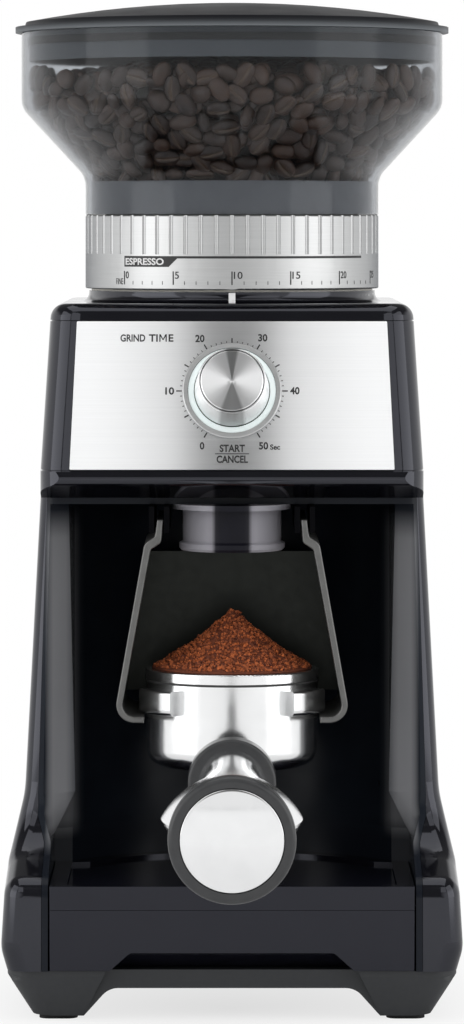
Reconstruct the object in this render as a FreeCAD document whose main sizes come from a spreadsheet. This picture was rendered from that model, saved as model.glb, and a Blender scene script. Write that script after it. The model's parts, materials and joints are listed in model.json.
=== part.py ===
# Burr coffee grinder: bean hopper, grind collar, timed dial, hands-free cradle and a docked portafilter.
# Frame: millimetres, +Z up, the front faces -Y, origin on the standing surface at the middle of the whole.
# Every outline is drawn from the burr axis; the bodies are then set back by burr_axis_y.
import FreeCAD, Part
import math
import os
import Sketcher

V = FreeCAD.Vector
doc = FreeCAD.newDocument("grinder")
nodes = {}

# Driving dimensions in millimetres and degrees. "front" sizes are measured forwards from the burr axis.
SIZES = {
    "stance": {
        "burr_axis_y": 72.0,
        "pad_thick": 3.0,
        "pad_proud": 1.5,
        "pad_inset": 2.5,
        "pad_round": 4.0,
        "foot_tuck": 9.5,
        "foot_wide": 19.5,
        "foot_depth": 26.0,
        "foot_rake": 4.5,
        "arch_run": 9.5,
        "bridge_z": 12.0,
        "bridge_round": 8.0,
        "bridge_back": 4.0,
        "toe_run": 9.0,
        "plate_top": 19.0,
        "plate_half": 85.0,
        "plate_front": 104.0,
        "plate_back": 102.5,
        "base_screw_in": 8.0,
        "base_screw_front": 40.0,
        "base_screw_back": 50.0,
        "base_screw_seat_z": 14.5,
        "base_screw_length": 16.0,
        "boss_top": 42.0,
        "running_gap": 0.3,
        "seat_gap": 0.15,
    },
    "lower body": {
        "skin": 2.6,
        "corner_round": 12.0,
        "bulge_out": 2.4,
        "bulge_z": 27.0,
        "bulge_round": 16.0,
        "cheek_in": -0.6,
        "cheek_z": 57.0,
        "cheek_round": 16.0,
        "waist_in": 5.2,
        "waist_z": 82.0,
        "flare_round": 50.0,
        "split_in": 11.8,
        "split_z": 206.4,
        "seam": 0.5,
        "base_front": 105.5,
        "cheek_front": 104.2,
        "cheek_front_z": 52.5,
        "cheek_front_round": 8.5,
        "sweep_z": 64.0,
        "sweep_round": 22.0,
        "wall_front": 68.0,
        "wall_front_round": 7.5,
        "brow_z": 195.7,
        "brow_front": 72.0,
        "brow_lip": 4.6,
        "brow_round": 3.6,
        "back_base": 104.0,
        "back_waist": 92.0,
        "back_round": 40.0,
    },
    "alcove": {
        "mouth_in": 1.2,
        "mouth_front": 69.0,
        "lip_in": 9.1,
        "lip_front": 61.8,
        "low_mouth_in": 5.3,
        "low_lip_in": 14.1,
        "side_in": 10.5,
        "side_front": 33.0,
        "alcove_back": 6.0,
        "liner_wall": 2.4,
        "ceiling_z": 193.0,
        "chassis_thick": 2.0,
        "chassis_in": 6.2,
        "chassis_front": 48.0,
        "chassis_back": 86.0,
    },
    "grounds tray": {
        "bay_in": 15.6,
        "bay_side_front": 31.0,
        "bay_shoulder_in": 6.9,
        "bay_back": 5.0,
        "bay_step": 3.0,
        "bay_top": 64.0,
        "flare_top": 82.0,
        "tray_gap": 0.5,
        "tray_top": 51.0,
        "strip_z": 42.0,
        "tray_wall": 2.0,
        "tray_front_thick": 14.0,
        "tray_corner": 0.8,
        "notch_top_half": 38.5,
        "notch_bottom_half": 46.0,
        "notch_top_z": 26.0,
        "notch_depth": 11.0,
        "dish_inset": 7.0,
        "dish_depth": 1.2,
    },
    "head": {
        "head_top": 270.0,
        "head_in": 3.4,
        "head_round": 6.0,
        "back_top": 87.0,
        "panel_tilt": 18.0,
        "dial_z": 236.8,
        "dial_front": 78.9,
        "panel_up": 27.8,
        "panel_down": 31.1,
        "panel_top_in": 10.3,
        "panel_bottom_in": 11.4,
        "panel_corner": 0.4,
        "panel_thick": 1.0,
        "throat_bore": 47.5,
        "seat_outer": 56.8,
        "seat_cove": 3.5,
        "seat_top": 274.2,
        "glide_thick": 0.7,
        "pointer_wide": 2.6,
        "pointer_thick": 0.4,
    },
    "rear": {
        "cover_half": 55.0,
        "cover_bottom": 90.0,
        "cover_top": 196.0,
        "cover_thick": 1.4,
        "cover_ledge": 7.0,
        "cover_round": 8.0,
        "vent_half": 36.0,
        "vent_tall": 3.0,
        "vent_pitch": 7.0,
        "vent_first": 20.0,
        "gland_z": 40.0,
        "gland_x": 50.0,
        "gland_bore": 3.6,
        "gland_sleeve": 6.0,
        "gland_flange": 9.0,
        "gland_flange_thick": 2.0,
        "gland_length": 12.0,
        "screw_shank": 1.5,
        "screw_head": 3.0,
        "screw_head_tall": 1.2,
        "screw_length": 9.0,
    },
    "dial": {
        "bezel_outer": 19.0,
        "bezel_inner": 16.9,
        "bezel_tall": 1.3,
        "halo_inner": 14.6,
        "halo_tall": 0.9,
        "knob_base": 14.3,
        "knob_rim": 12.9,
        "knob_tall": 13.0,
        "knob_lift": 1.2,
        "button_outer": 12.0,
        "button_tall": 3.5,
        "button_stem": 1.6,
        "button_travel": 1.5,
        "knob_hub": 3.5,
        "hub_deep": 6.7,
        "encoder_side": 16.0,
        "encoder_deep": 5.0,
        "board_half": 44.0,
        "board_up": 20.0,
        "board_down": 21.0,
        "board_thick": 1.6,
    },
    "hopper": {
        "collar_outer": 58.2,
        "collar_wall": 5.6,
        "collar_bottom": 275.0,
        "collar_top": 304.0,
        "flute_bottom": 288.8,
        "flute_radius": 0.9,
        "flute_deep": 0.65,
        "hopper_wall": 2.2,
        "hopper_gap": 0.4,
        "neck_top": 319.0,
        "bowl_radius": 83.6,
        "bowl_bottom": 346.5,
        "hopper_top": 376.0,
        "hopper_round": 9.0,
        "lid_overhang": 2.4,
        "lid_lip": 2.2,
        "lid_rim": 4.2,
        "lid_step": 4.2,
        "lid_rise": 12.0,
        "lid_thick": 2.2,
        "skirt_gap": 1.0,
        "skirt_wall": 2.0,
        "skirt_drop": 11.4,
        "seal_drop": 5.0,
        "seal_tall": 3.0,
        "base_insert_top": 317.5,
        "base_insert_wall": 2.2,
        "throat_radius": 21.0,
        "throat_bottom": 290.0,
        "lock_skirt": 50.2,
        "lock_lug": 1.8,
        "lock_lug_tall": 3.0,
        "lock_lug_angle": 34.0,
    },
    "burrs": {
        "web_z": 277.0,
        "web_thick": 4.5,
        "web_bore": 40.0,
        "drive_lug_wide": 12.0,
        "drive_lug_long": 6.0,
        "carrier_outer": 29.2,
        "carrier_bottom": 250.0,
        "carrier_flange_z": 276.2,
        "carrier_flange_thick": 5.5,
        "burr_outer": 25.0,
        "burr_tall": 16.0,
        "burr_mouth": 17.5,
        "cone_bottom_z": 247.0,
        "cone_top_z": 271.0,
        "cone_bottom": 18.6,
        "cone_top": 9.5,
        "burr_clearance": 0.9,
        "chamber_wall": 3.5,
        "chamber_floor": 3.5,
        "chamber_bottom": 230.0,
        "chamber_flange": 53.0,
        "chamber_flange_thick": 3.4,
        "port_z": 241.5,
        "port_radius": 7.7,
        "impeller_radius": 28.6,
        "impeller_bottom": 236.0,
        "impeller_disc": 2.5,
        "impeller_blade": 6.0,
        "shaft_radius": 5.0,
        "shaft_bottom": 200.2,
        "nut_tall": 6.0,
        "nut_flat": 8.0,
        "felt_radius": 12.0,
        "felt_thick": 2.0,
    },
    "drive": {
        "gear_module": 1.0,
        "output_teeth": 40.0,
        "idler_pinion_teeth": 14.0,
        "idler_teeth": 36.0,
        "motor_teeth": 12.0,
        "motor_axis_back": 44.0,
        "output_z": 208.0,
        "output_face": 8.0,
        "idler_z": 217.0,
        "idler_face": 5.0,
        "idler_pin": 3.0,
        "gearbox_wall": 2.6,
        "gearbox_floor": 2.2,
        "gearbox_lid_z": 226.0,
        "gearbox_lid_thick": 4.0,
        "gearbox_side": 35.5,
        "gearbox_front": 25.0,
        "gearbox_back": 55.0,
        "gearbox_round": 14.0,
        "bearing_outer": 13.0,
        "bearing_tall": 6.6,
        "bush_outer": 9.0,
        "shaft_fit": 0.05,
        "gear_backlash": 0.12,
        "motor_radius": 30.5,
        "motor_bottom": 92.0,
        "motor_round": 4.0,
        "motor_shaft": 2.5,
        "power_board_wide": 100.0,
        "power_board_deep": 42.0,
        "power_board_z": 31.0,
        "post_radius": 3.0,
    },
    "outlet and cradle": {
        "outlet_front": 60.0,
        "outlet_outer": 19.0,
        "outlet_bore": 15.0,
        "outlet_bottom": 175.0,
        "outlet_lip": 20.4,
        "outlet_lip_tall": 3.6,
        "outlet_flange": 23.0,
        "outlet_flange_thick": 2.0,
        "chute_outer": 7.5,
        "chute_bore": 6.2,
        "chute_bend": 20.0,
        "cradle_sheet": 2.4,
        "cradle_front": 86.0,
        "cradle_back": 21.5,
        "cradle_tab_half": 28.6,
        "cradle_tab_top": 188.0,
        "cradle_neck_half": 29.4,
        "cradle_neck_z": 181.6,
        "cradle_shoulder_half": 33.4,
        "cradle_shoulder_z": 179.0,
        "cradle_hip_half": 45.0,
        "cradle_hook_z": 110.6,
        "cradle_hook_half": 33.6,
        "cradle_round": 7.0,
        "cradle_edge": 0.7,
        "rail_tall": 5.0,
        "plate_top_gap": 3.0,
    },
    "portafilter": {
        "cup_radius": 33.0,
        "cup_wall": 3.4,
        "cup_bottom": 92.0,
        "cup_floor": 4.0,
        "cup_top": 126.0,
        "cup_round": 7.0,
        "drain_radius": 4.0,
        "ear_reach": 38.4,
        "ear_bottom": 113.4,
        "ear_tall": 9.4,
        "ear_start": 38.0,
        "ear_stop": 68.0,
        "ear_round": 2.4,
        "basket_radius": 28.6,
        "basket_wall": 0.8,
        "basket_bottom": 101.0,
        "basket_rim": 33.4,
        "basket_rim_tall": 3.5,
        "spring_wire": 0.7,
        "spring_z": 119.0,
        "spout_wide": 17.0,
        "spout_deep": 6.5,
        "spout_bottom": 72.0,
        "handle_z": 91.4,
        "handle_tilt": 2.0,
        "boss_radius": 11.0,
        "boss_end": 11.0,
        "ring_radius": 16.6,
        "ring_end": 21.0,
        "neck_radius": 12.6,
        "neck_waist": 1.8,
        "wing_half": 23.5,
        "wing_tall": 16.5,
        "wing_at": 118.0,
        "grip_butt": 22.5,
        "butt_neck": 18.8,
        "butt_band": 5.5,
        "grip_end": 156.0,
        "grip_ring_length": 26.0,
        "cap_radius": 18.4,
        "cap_crown": 2.0,
    },
}

WELL_CLEAR = 300.0  # how far a cutting tool reaches past the part


class Size:
    """A driving dimension, or a formula of them: its value now and the text of its expression."""

    def __init__(self, value, text):
        self.value = float(value)
        self.text = text

    def __add__(self, other):
        other = size_of(other)
        return Size(self.value + other.value, f"({self.text} + {other.text})")

    def __sub__(self, other):
        other = size_of(other)
        return Size(self.value - other.value, f"({self.text} - {other.text})")

    def __mul__(self, other):
        other = size_of(other)
        return Size(self.value * other.value, f"({self.text} * {other.text})")

    def __truediv__(self, other):
        other = size_of(other)
        return Size(self.value / other.value, f"({self.text} / {other.text})")

    def __neg__(self):
        return Size(-self.value, f"(-{self.text})")

    def __radd__(self, other):
        return size_of(other) + self

    def __rsub__(self, other):
        return size_of(other) - self

    def __rmul__(self, other):
        return size_of(other) * self


def size_of(number):
    if isinstance(number, Size):
        return number
    return Size(number, f"({number:g})")


def tangent(angle):
    return Size(math.tan(math.radians(angle.value)), f"tan({angle.text} * 1 deg)")


def sine(angle):
    return Size(math.sin(math.radians(angle.value)), f"sin({angle.text} * 1 deg)")


def cosine(angle):
    return Size(math.cos(math.radians(angle.value)), f"cos({angle.text} * 1 deg)")


def root(size):
    return Size(math.sqrt(size.value), f"sqrt({size.text})")


def crown_via(half, edge, apex):
    """A point midway along a dome whose arc is centred on the axis, between its edge and its apex."""
    rise = apex - edge
    sign = 1.0 if rise.value > 0 else -1.0
    radius = (half * half + rise * rise) / (rise * 2.0 * sign)
    drop = radius - root(radius * radius - half * half / 4.0)
    return ("via", half / 2.0, apex - drop * sign)


class Dimensions:
    """The sheet's cells by name, each as a Size."""


def make_sheet():
    sheet = doc.addObject("Spreadsheet::Sheet", "dims")
    found = Dimensions()
    row = 1
    for group, cells in SIZES.items():
        sheet.set(f"A{row}", group)
        row += 1
        for name, value in cells.items():
            sheet.set(f"A{row}", name)
            sheet.set(f"B{row}", f"{value:g}")
            sheet.setAlias(f"B{row}", name)
            setattr(found, name, Size(value, f"dims.{name}"))
            row += 1
    doc.recompute()
    return found


d = make_sheet()

# Sizes that follow from the driving ones
d.foot_outer = d.plate_half - d.foot_tuck
d.foot_inner = d.foot_outer - d.foot_wide
d.bridge_half = d.foot_inner - d.arch_run
d.toe_half = d.foot_inner - d.toe_run
d.base_screw_x = d.plate_half - d.base_screw_in
d.base_half = d.plate_half + d.bulge_out
d.cheek_half = d.plate_half - d.cheek_in
d.waist_half = d.plate_half - d.waist_in
d.split_half = d.plate_half - d.split_in
d.mouth_half = d.split_half - d.mouth_in
d.lip_half = d.mouth_half - d.lip_in
d.low_mouth_half = d.waist_half - d.low_mouth_in
d.low_lip_half = d.low_mouth_half - d.low_lip_in
d.side_half = d.mouth_half - d.side_in
d.chassis_half = d.split_half - d.chassis_in
d.bay_half = d.plate_half - d.bay_in
d.bay_shoulder_half = d.bay_half - d.bay_shoulder_in
d.head_half = d.split_half - d.head_in
d.panel_top_half = d.head_half - d.panel_top_in
d.panel_bottom_half = d.split_half - d.panel_bottom_in
d.lid_radius = d.bowl_radius + d.lid_overhang
d.lid_disc = d.lid_radius - d.lid_rim
d.lid_top = d.hopper_top + d.lid_rise
d.skirt_outer = d.bowl_radius - d.hopper_wall - d.skirt_gap
d.skirt_bottom = d.hopper_top - d.skirt_drop
d.seal_z = d.hopper_top - d.seal_drop


def bind(target, path, size):
    """Sets a property from a size, by expression wherever the size comes from the sheet."""
    size = size_of(size)
    if "dims." in size.text:
        target.setExpression(path, size.text)
    return size.value


def new_body(label, y=0.0, z=0.0, x=0.0, tilt=None):
    """A body whose origin lies at x, y, z from the burr axis on the floor, turned by tilt about X."""
    body = doc.addObject("PartDesign::Body", label)
    body.Label = label
    body.AllowCompound = True
    angle = size_of(tilt if tilt is not None else 0.0)
    place = V(size_of(x).value, (d.burr_axis_y + y).value, size_of(z).value)
    body.Placement = FreeCAD.Placement(place, FreeCAD.Rotation(V(1, 0, 0), angle.value))
    bind(body, "Placement.Base.x", x)
    bind(body, "Placement.Base.y", d.burr_axis_y + y)
    bind(body, "Placement.Base.z", z)
    if tilt is not None:
        bind(body, "Placement.Rotation.Angle", angle)
    return body


def origin_feature(body, role):
    return next(f for f in body.Origin.OriginFeatures if f.Role == role)


def new_sketch(body, plane, offset=0.0):
    sketch = body.newObject("Sketcher::SketchObject", body.Name + "_sketch")
    sketch.AttachmentSupport = [(origin_feature(body, plane), "")]
    sketch.MapMode = "FlatFace"
    sketch.AttachmentOffset = FreeCAD.Placement(V(0, 0, size_of(offset).value), FreeCAD.Rotation())
    bind(sketch, "AttachmentOffset.Base.z", offset)
    return sketch


def pinned(geometry, position, point, tag, bound):
    """The two constraints that hold one point of a sketch at its coordinates."""
    made = []
    for kind, size, axis in (("DistanceX", point[0], "x"), ("DistanceY", point[1], "y")):
        size = size_of(size)
        constraint = Sketcher.Constraint(kind, -1, 1, geometry, position, size.value)
        constraint.Name = f"{tag}{axis}"
        bound[constraint.Name] = size
        made.append(constraint)
    return made


def measured(geometry, radius, tag, bound):
    constraint = Sketcher.Constraint("Radius", geometry, size_of(radius).value)
    constraint.Name = tag
    bound[tag] = size_of(radius)
    return constraint


def flat(point):
    return V(size_of(point[0]).value, size_of(point[1]).value, 0)


def apart(one, other):
    return (flat(one) - flat(other)).Length > 0.001


def corner_arc(before, corner, after, radius):
    """Where a rounded corner starts and stops, the middle of its arc, and whether it turns left."""
    incoming = (corner - before).normalize()
    outgoing = (after - corner).normalize()
    turned = math.acos(max(-1.0, min(1.0, incoming.dot(outgoing))))
    run = radius * math.tan(turned / 2.0)
    left = incoming.cross(outgoing).z > 0
    side = V(-incoming.y, incoming.x, 0) * (1.0 if left else -1.0)
    start = corner - incoming * run
    centre = start + side * radius
    middle = centre + (corner - centre).normalize() * radius
    return start, middle, corner + outgoing * run, left


def draw_loop(sketch, points):
    """A closed loop of (across, up) or (across, up, round); a ("via", across, up) bows the side it is on."""
    points = [p for i, p in enumerate(points)
              if p[0] == "via" or points[i - 1][0] == "via" or apart(p, points[i - 1])]
    corners = [p for p in points if p[0] != "via"]
    vias = {}
    for i, p in enumerate(points):
        if p[0] == "via":
            vias[len([q for q in points[:i] if q[0] != "via"]) - 1] = p[1:]
    first, count = sketch.GeometryCount, len(corners)
    spots = [flat(p) for p in corners]
    arcs = {i: corner_arc(spots[i - 1], spots[i], spots[(i + 1) % count], size_of(p[2]).value)
            for i, p in enumerate(corners) if len(p) > 2}
    geometry, constraints, marks, bound = [], [], [], {}
    ends = []
    for i in range(count):
        following = (i + 1) % count
        start = arcs[i][2] if i in arcs else spots[i]
        stop = arcs[following][0] if following in arcs else spots[following]
        if i in vias:
            middle = flat(vias[i])
            geometry.append(Part.Arc(start, middle, stop))
            ends.append((1, 2) if (middle - start).cross(stop - middle).z > 0 else (2, 1))
        else:
            geometry.append(Part.LineSegment(start, stop))
            ends.append((1, 2))
    for i in range(count):
        before, here = first + (i - 1) % count, first + i
        leaving, entering = ends[i - 1][1], ends[i][0]
        if i in arcs:
            start, middle, stop, left = arcs[i]
            arc = first + len(geometry)
            geometry.append(Part.Arc(start, middle, stop))
            arc_start, arc_stop = (1, 2) if left else (2, 1)
            constraints.append(Sketcher.Constraint("Tangent", before, leaving, arc, arc_start))
            constraints.append(Sketcher.Constraint("Tangent", arc, arc_stop, here, entering))
            constraints.append(measured(arc, corners[i][2], f"r{first}_{i}", bound))
            marks.append((corners[i], f"p{first}_{i}", (before, here)))
        else:
            constraints.append(Sketcher.Constraint("Coincident", before, leaving, here, entering))
            constraints += pinned(here, entering, corners[i], f"p{first}_{i}", bound)
        if i in vias:
            marks.append((vias[i], f"v{first}_{i}", (here,)))
    sketch.addGeometry(geometry, False)
    for point, tag, carriers in marks:
        mark = sketch.addGeometry(Part.Point(flat(point)), True)
        constraints += pinned(mark, 1, point, tag, bound)
        constraints += [Sketcher.Constraint("PointOnObject", mark, 1, carrier) for carrier in carriers]
    sketch.addConstraint(constraints)
    for name, size in bound.items():
        bind(sketch, f"Constraints.{name}", size)


def draw_circle(sketch, across, up, radius):
    made = sketch.addGeometry(Part.Circle(flat((across, up)), V(0, 0, 1), size_of(radius).value), False)
    bound = {}
    constraints = pinned(made, 3, (across, up), f"c{made}", bound)
    constraints.append(measured(made, radius, f"c{made}r", bound))
    sketch.addConstraint(constraints)
    for name, size in bound.items():
        bind(sketch, f"Constraints.{name}", size)


def draw(body, plane, loops, offset=0.0):
    """A sketch of several loops; a loop ("circle", across, up, radius) is a circle."""
    sketch = new_sketch(body, plane, offset)
    for loop in loops:
        if loop[0] == "circle":
            draw_circle(sketch, *loop[1:])
        else:
            draw_loop(sketch, loop)
    return sketch


def feature(body, kind, sketch):
    made = body.newObject(f"PartDesign::{kind}", f"{body.Name}_{kind.lower()}")
    made.Profile = sketch
    return made


def pad(body, plane, loops, length, offset=0.0, reverse=False, middle=False):
    made = feature(body, "Pad", draw(body, plane, loops, offset))
    made.Length = bind(made, "Length", length)
    made.Reversed = reverse
    made.Midplane = middle
    return made


def pocket(body, plane, loops, length, offset=0.0, reverse=False, middle=False):
    """Cuts against the sketch's normal, along it where reverse is set, or both ways about it."""
    made = feature(body, "Pocket", draw(body, plane, loops, offset))
    made.Length = bind(made, "Length", length)
    made.Reversed = reverse
    made.Midplane = middle
    return made


def turn(body, points, plane="XZ_Plane", angle=360.0, middle=False):
    """Revolves an outline of (radius, height) points about the sketch's upright axis."""
    sketch = draw(body, plane, [points])
    made = feature(body, "Revolution", sketch)
    made.ReferenceAxis = (sketch, ["V_Axis"])
    made.Angle = bind(made, "Angle", angle)
    made.Midplane = middle
    return made


def groove(body, points, plane="XZ_Plane"):
    sketch = draw(body, plane, [points])
    made = feature(body, "Groove", sketch)
    made.ReferenceAxis = (sketch, ["V_Axis"])
    made.Angle = 360.0
    return made


def round_the_axis(body, feature_to_copy, count, axis="Z_Axis"):
    made = body.newObject("PartDesign::PolarPattern", f"{body.Name}_polar")
    made.Originals = [feature_to_copy]
    made.Axis = (origin_feature(body, axis), [""])
    made.Angle = 360.0
    made.Occurrences = count
    body.Tip = made
    return made


def in_a_row(body, feature_to_copy, count, length, axis="Z_Axis"):
    made = body.newObject("PartDesign::LinearPattern", f"{body.Name}_row")
    made.Originals = [feature_to_copy]
    made.Direction = (origin_feature(body, axis), [""])
    made.Length = bind(made, "Length", length)
    made.Occurrences = count
    body.Tip = made
    return made


def round_edges(body, radius, wanted):
    """Rounds every edge of the body's last feature that the test accepts."""
    doc.recompute()
    last = body.Tip
    names = [f"Edge{i + 1}" for i, edge in enumerate(last.Shape.Edges) if wanted(edge)]
    made = body.newObject("PartDesign::Fillet", f"{body.Name}_round")
    made.Base = (last, names)
    made.Radius = bind(made, "Radius", radius)
    return made


def combine(kind, label, base, tool):
    """A Part::Cut, Part::Fuse or Part::Common of two objects."""
    made = doc.addObject(f"Part::{kind}", label)
    made.Label = label
    made.Base = base
    made.Tool = tool
    return made


def cut_all(label, base, tools):
    for i, tool in enumerate(tools):
        base = combine("Cut", label if i == len(tools) - 1 else f"{label}_cut", base, tool)
    return base


def keep(label, made):
    """Marks an object as a sub-part under its own name."""
    made.Label = label
    nodes[label] = made
    return made


def both_sides(half_outline):
    """A closed outline from its right half, listed from the bottom up."""
    left = [(-size_of(p[0]),) + tuple(p[1:]) for p in reversed(half_outline)]
    return half_outline + left


def bowed(right, back):
    """A plan from its right half, listed from the front, closed by an arc through its back."""
    return right + [("via", 0.0, back)] + [(-x, y) for x, y in reversed(right)]


def is_upright_corner(edge):
    return edge.BoundBox.ZLength > 0.4


def trim_to(body, side):
    """Cuts away everything that lies outside a side outline."""
    frame = [(-WELL_CLEAR, -WELL_CLEAR), (WELL_CLEAR, -WELL_CLEAR),
             (WELL_CLEAR, WELL_CLEAR * 2.0), (-WELL_CLEAR, WELL_CLEAR * 2.0)]
    pocket(body, "YZ_Plane", [frame, side], WELL_CLEAR * 2.0, middle=True)


# Base plate and feet

def foot_pads(body, inset, low, tall, cutting):
    """Four rounded pads under the feet, or the recesses that hold them."""
    left, right = d.foot_inner + inset, d.foot_outer - inset
    rows = ((-(d.plate_front - d.foot_rake) + inset, -(d.plate_front - d.foot_rake) + d.foot_depth - inset),
            (d.plate_back - d.foot_rake - d.foot_depth + inset, d.plate_back - d.foot_rake - inset))
    for near, far in rows:
        for start, stop in ((left, right), (-right, -left)):
            loop = [(x, y, d.pad_round) for x, y in ((start, near), (stop, near), (stop, far), (start, far))]
            if cutting:
                pocket(body, "XY_Plane", [loop], tall, low, reverse=True)
            else:
                pad(body, "XY_Plane", [loop], tall, low)


def make_base():
    body = new_body("base_plate")
    depth = d.plate_front + d.plate_back
    slope_top = d.plate_top - 2.0
    pad(body, "XZ_Plane", [[
        (d.plate_half, d.plate_top), (-d.plate_half, d.plate_top), (-d.plate_half, slope_top),
        (-d.foot_outer, d.pad_proud), (-d.foot_inner, d.pad_proud),
        (-d.bridge_half, d.bridge_z, d.bridge_round), (d.bridge_half, d.bridge_z, d.bridge_round),
        (d.foot_inner, d.pad_proud), (d.foot_outer, d.pad_proud), (d.plate_half, slope_top),
    ]], depth, d.plate_front, reverse=True)
    toe, heel = d.plate_front - d.foot_rake, d.plate_back - d.foot_rake
    wide = d.plate_half * 2.0 + 10.0
    pocket(body, "YZ_Plane", [
        [(-toe + d.foot_depth, d.pad_proud - 1.0), (-toe + d.foot_depth, d.pad_proud),
         (-toe + d.foot_depth + d.arch_run, d.bridge_z, d.bridge_round),
         (heel - d.foot_depth - d.arch_run, d.bridge_z, d.bridge_round),
         (heel - d.foot_depth, d.pad_proud), (heel - d.foot_depth, d.pad_proud - 1.0)],
        [(-d.plate_front - 5.0, d.pad_proud - 1.0), (-toe, d.pad_proud - 1.0), (-toe, d.pad_proud),
         (-d.plate_front, slope_top), (-d.plate_front - 5.0, slope_top)],
        [(d.plate_back + 5.0, d.pad_proud - 1.0), (d.plate_back + 5.0, slope_top), (d.plate_back, slope_top),
         (heel, d.pad_proud), (heel, d.pad_proud - 1.0)],
    ], wide, middle=True)
    corner_x = d.foot_outer.value - 6.0
    toe_y, heel_y = toe.value - 6.0, heel.value - 6.0

    def is_outer_corner(edge):
        middle = edge.CenterOfMass
        return is_upright_corner(edge) and abs(middle.x) > corner_x and not -toe_y < middle.y < heel_y

    round_edges(body, d.corner_round - 2.0, is_outer_corner)
    pocket(body, "XZ_Plane", [both_sides([
        (d.foot_inner, d.pad_proud - 1.0), (d.foot_inner, d.pad_proud), (d.toe_half, d.plate_top + 1.0),
    ])], d.bridge_back, d.plate_front)
    foot_pads(body, d.pad_inset - d.seat_gap, d.pad_proud, d.pad_thick - d.pad_proud, cutting=True)
    post_x = d.power_board_wide / 2.0 - 6.0
    post_y = d.alcove_back + d.liner_wall + 14.0
    posts = [("circle", s * post_x, y, d.post_radius) for s in (-1, 1)
             for y in (post_y, post_y + d.power_board_deep - 12.0)]
    pad(body, "XY_Plane", posts, d.power_board_z - d.plate_top + 1.0, d.plate_top - 1.0)
    screws = [("circle", s * d.base_screw_x, y, d.screw_shank + 0.2) for s in (-1, 1)
              for y in (-d.base_screw_front, d.base_screw_back)]
    pocket(body, "XY_Plane", screws, d.plate_top + 5.0, d.plate_top + 1.0)
    heads = [("circle", s * d.base_screw_x, y, d.screw_head + 0.3) for s in (-1, 1)
             for y in (-d.base_screw_front, d.base_screw_back)]
    pocket(body, "XY_Plane", heads, d.base_screw_seat_z, 0.0, reverse=True)
    keep("base_plate", body)

    feet = new_body("rubber_feet")
    foot_pads(feet, d.pad_inset, 0.0, d.pad_thick, cutting=False)
    keep("rubber_feet", feet)

    screws = new_body("base_screws")
    spots = [(s * d.base_screw_x, y) for s in (-1, 1) for y in (-d.base_screw_front, d.base_screw_back)]
    pad(screws, "XY_Plane", [("circle", x, y, d.screw_head) for x, y in spots], d.screw_head_tall,
        d.base_screw_seat_z - d.screw_head_tall)
    pad(screws, "XY_Plane", [("circle", x, y, d.screw_shank) for x, y in spots],
        d.base_screw_length + 0.5, d.base_screw_seat_z - 0.5)
    keep("base_screws", screws)


# Lower body: the front and side outlines crossed, hollowed, and opened for the alcove and the tray bay

def body_envelope(label, inset, low, high):
    """The lower body's outer form drawn in by an inset, from one height to another."""
    body = new_body(label)
    foot_half = d.plate_half - inset
    top_half = d.split_half - inset
    pad(body, "XZ_Plane", [both_sides([
        (foot_half, low), (foot_half, d.plate_top), (d.base_half - inset, d.bulge_z, d.bulge_round),
        (d.cheek_half - inset, d.cheek_z, d.cheek_round), (d.waist_half - inset, d.waist_z, d.flare_round),
        (top_half, d.split_z), (top_half, d.split_z + 20.0),
    ])], WELL_CLEAR * 2.0, middle=True)
    trim_to(body, [
        (-(d.base_front - inset), low), (d.back_base - inset, low),
        (d.back_base - inset, d.cheek_z, d.back_round),
        (d.back_waist - inset, d.waist_z + 10.0, d.back_round), (d.back_waist - inset, high),
        (-(d.wall_front - inset), high), (-(d.wall_front - inset), d.sweep_z, d.sweep_round),
        (-(d.cheek_front - inset), d.cheek_front_z - inset, d.cheek_front_round),
    ])
    behind, beside = d.back_waist.value / 2.0, d.split_half.value / 2.0
    round_edges(body, d.wall_front_round - inset, lambda e: is_upright_corner(e) and e.CenterOfMass.y < 0)
    round_edges(body, d.corner_round - inset, lambda e: is_upright_corner(e) and e.Length > 1.0
                and e.CenterOfMass.y > behind and abs(e.CenterOfMass.x) > beside)
    return body


def head_front(z):
    return d.dial_front + (d.dial_z - z) * tangent(d.panel_tilt)


def brow_block(label, inset, low, high):
    """The slice of the body under the head, its underside sloping back to the alcove."""
    body = new_body(label)
    half, back = d.split_half - inset, d.back_waist - inset
    lip = d.split_z - d.brow_lip + inset
    front = head_front(lip) - inset
    corner = d.corner_round - inset
    pad(body, "XY_Plane", [both_sides([(half, -front, corner), (half, back, corner)])], high - low, low)
    trim_to(body, [(-(d.brow_front - inset), low), (back, low), (back, high),
                   (-(head_front(high) - inset), high), (-front, lip, d.brow_round - inset)])
    return body


def whole_body(label, inset, low, high, brow_low, brow_high):
    return combine("Fuse", label, body_envelope(label + "_walls", inset, low, high),
                   brow_block(label + "_brow", inset, brow_low, brow_high))


def bay_plan(grow, ahead):
    """The tray bay seen from above, grown by the liner's wall where asked."""
    side, shoulder = d.bay_half + grow, d.bay_shoulder_half + grow
    return bowed([
        (side, -ahead), (side, -d.mouth_front), (side, -d.lip_front), (side, -d.bay_side_front),
        (shoulder, -(d.bay_side_front - d.bay_step)),
    ], d.bay_back + grow)


def alcove_plan(grow, ahead, mouth_half, lip_half):
    """The alcove seen from above: a bevelled lip at each cheek, then the side walls and a bowed back."""
    mouth, lip, side = mouth_half + grow, lip_half + grow, d.side_half + grow
    return bowed([
        (mouth, -ahead), (mouth, -d.mouth_front), (lip, -d.lip_front), (side, -(d.side_front + d.bay_step)),
        (side, -d.side_front),
    ], d.alcove_back + grow)


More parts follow.
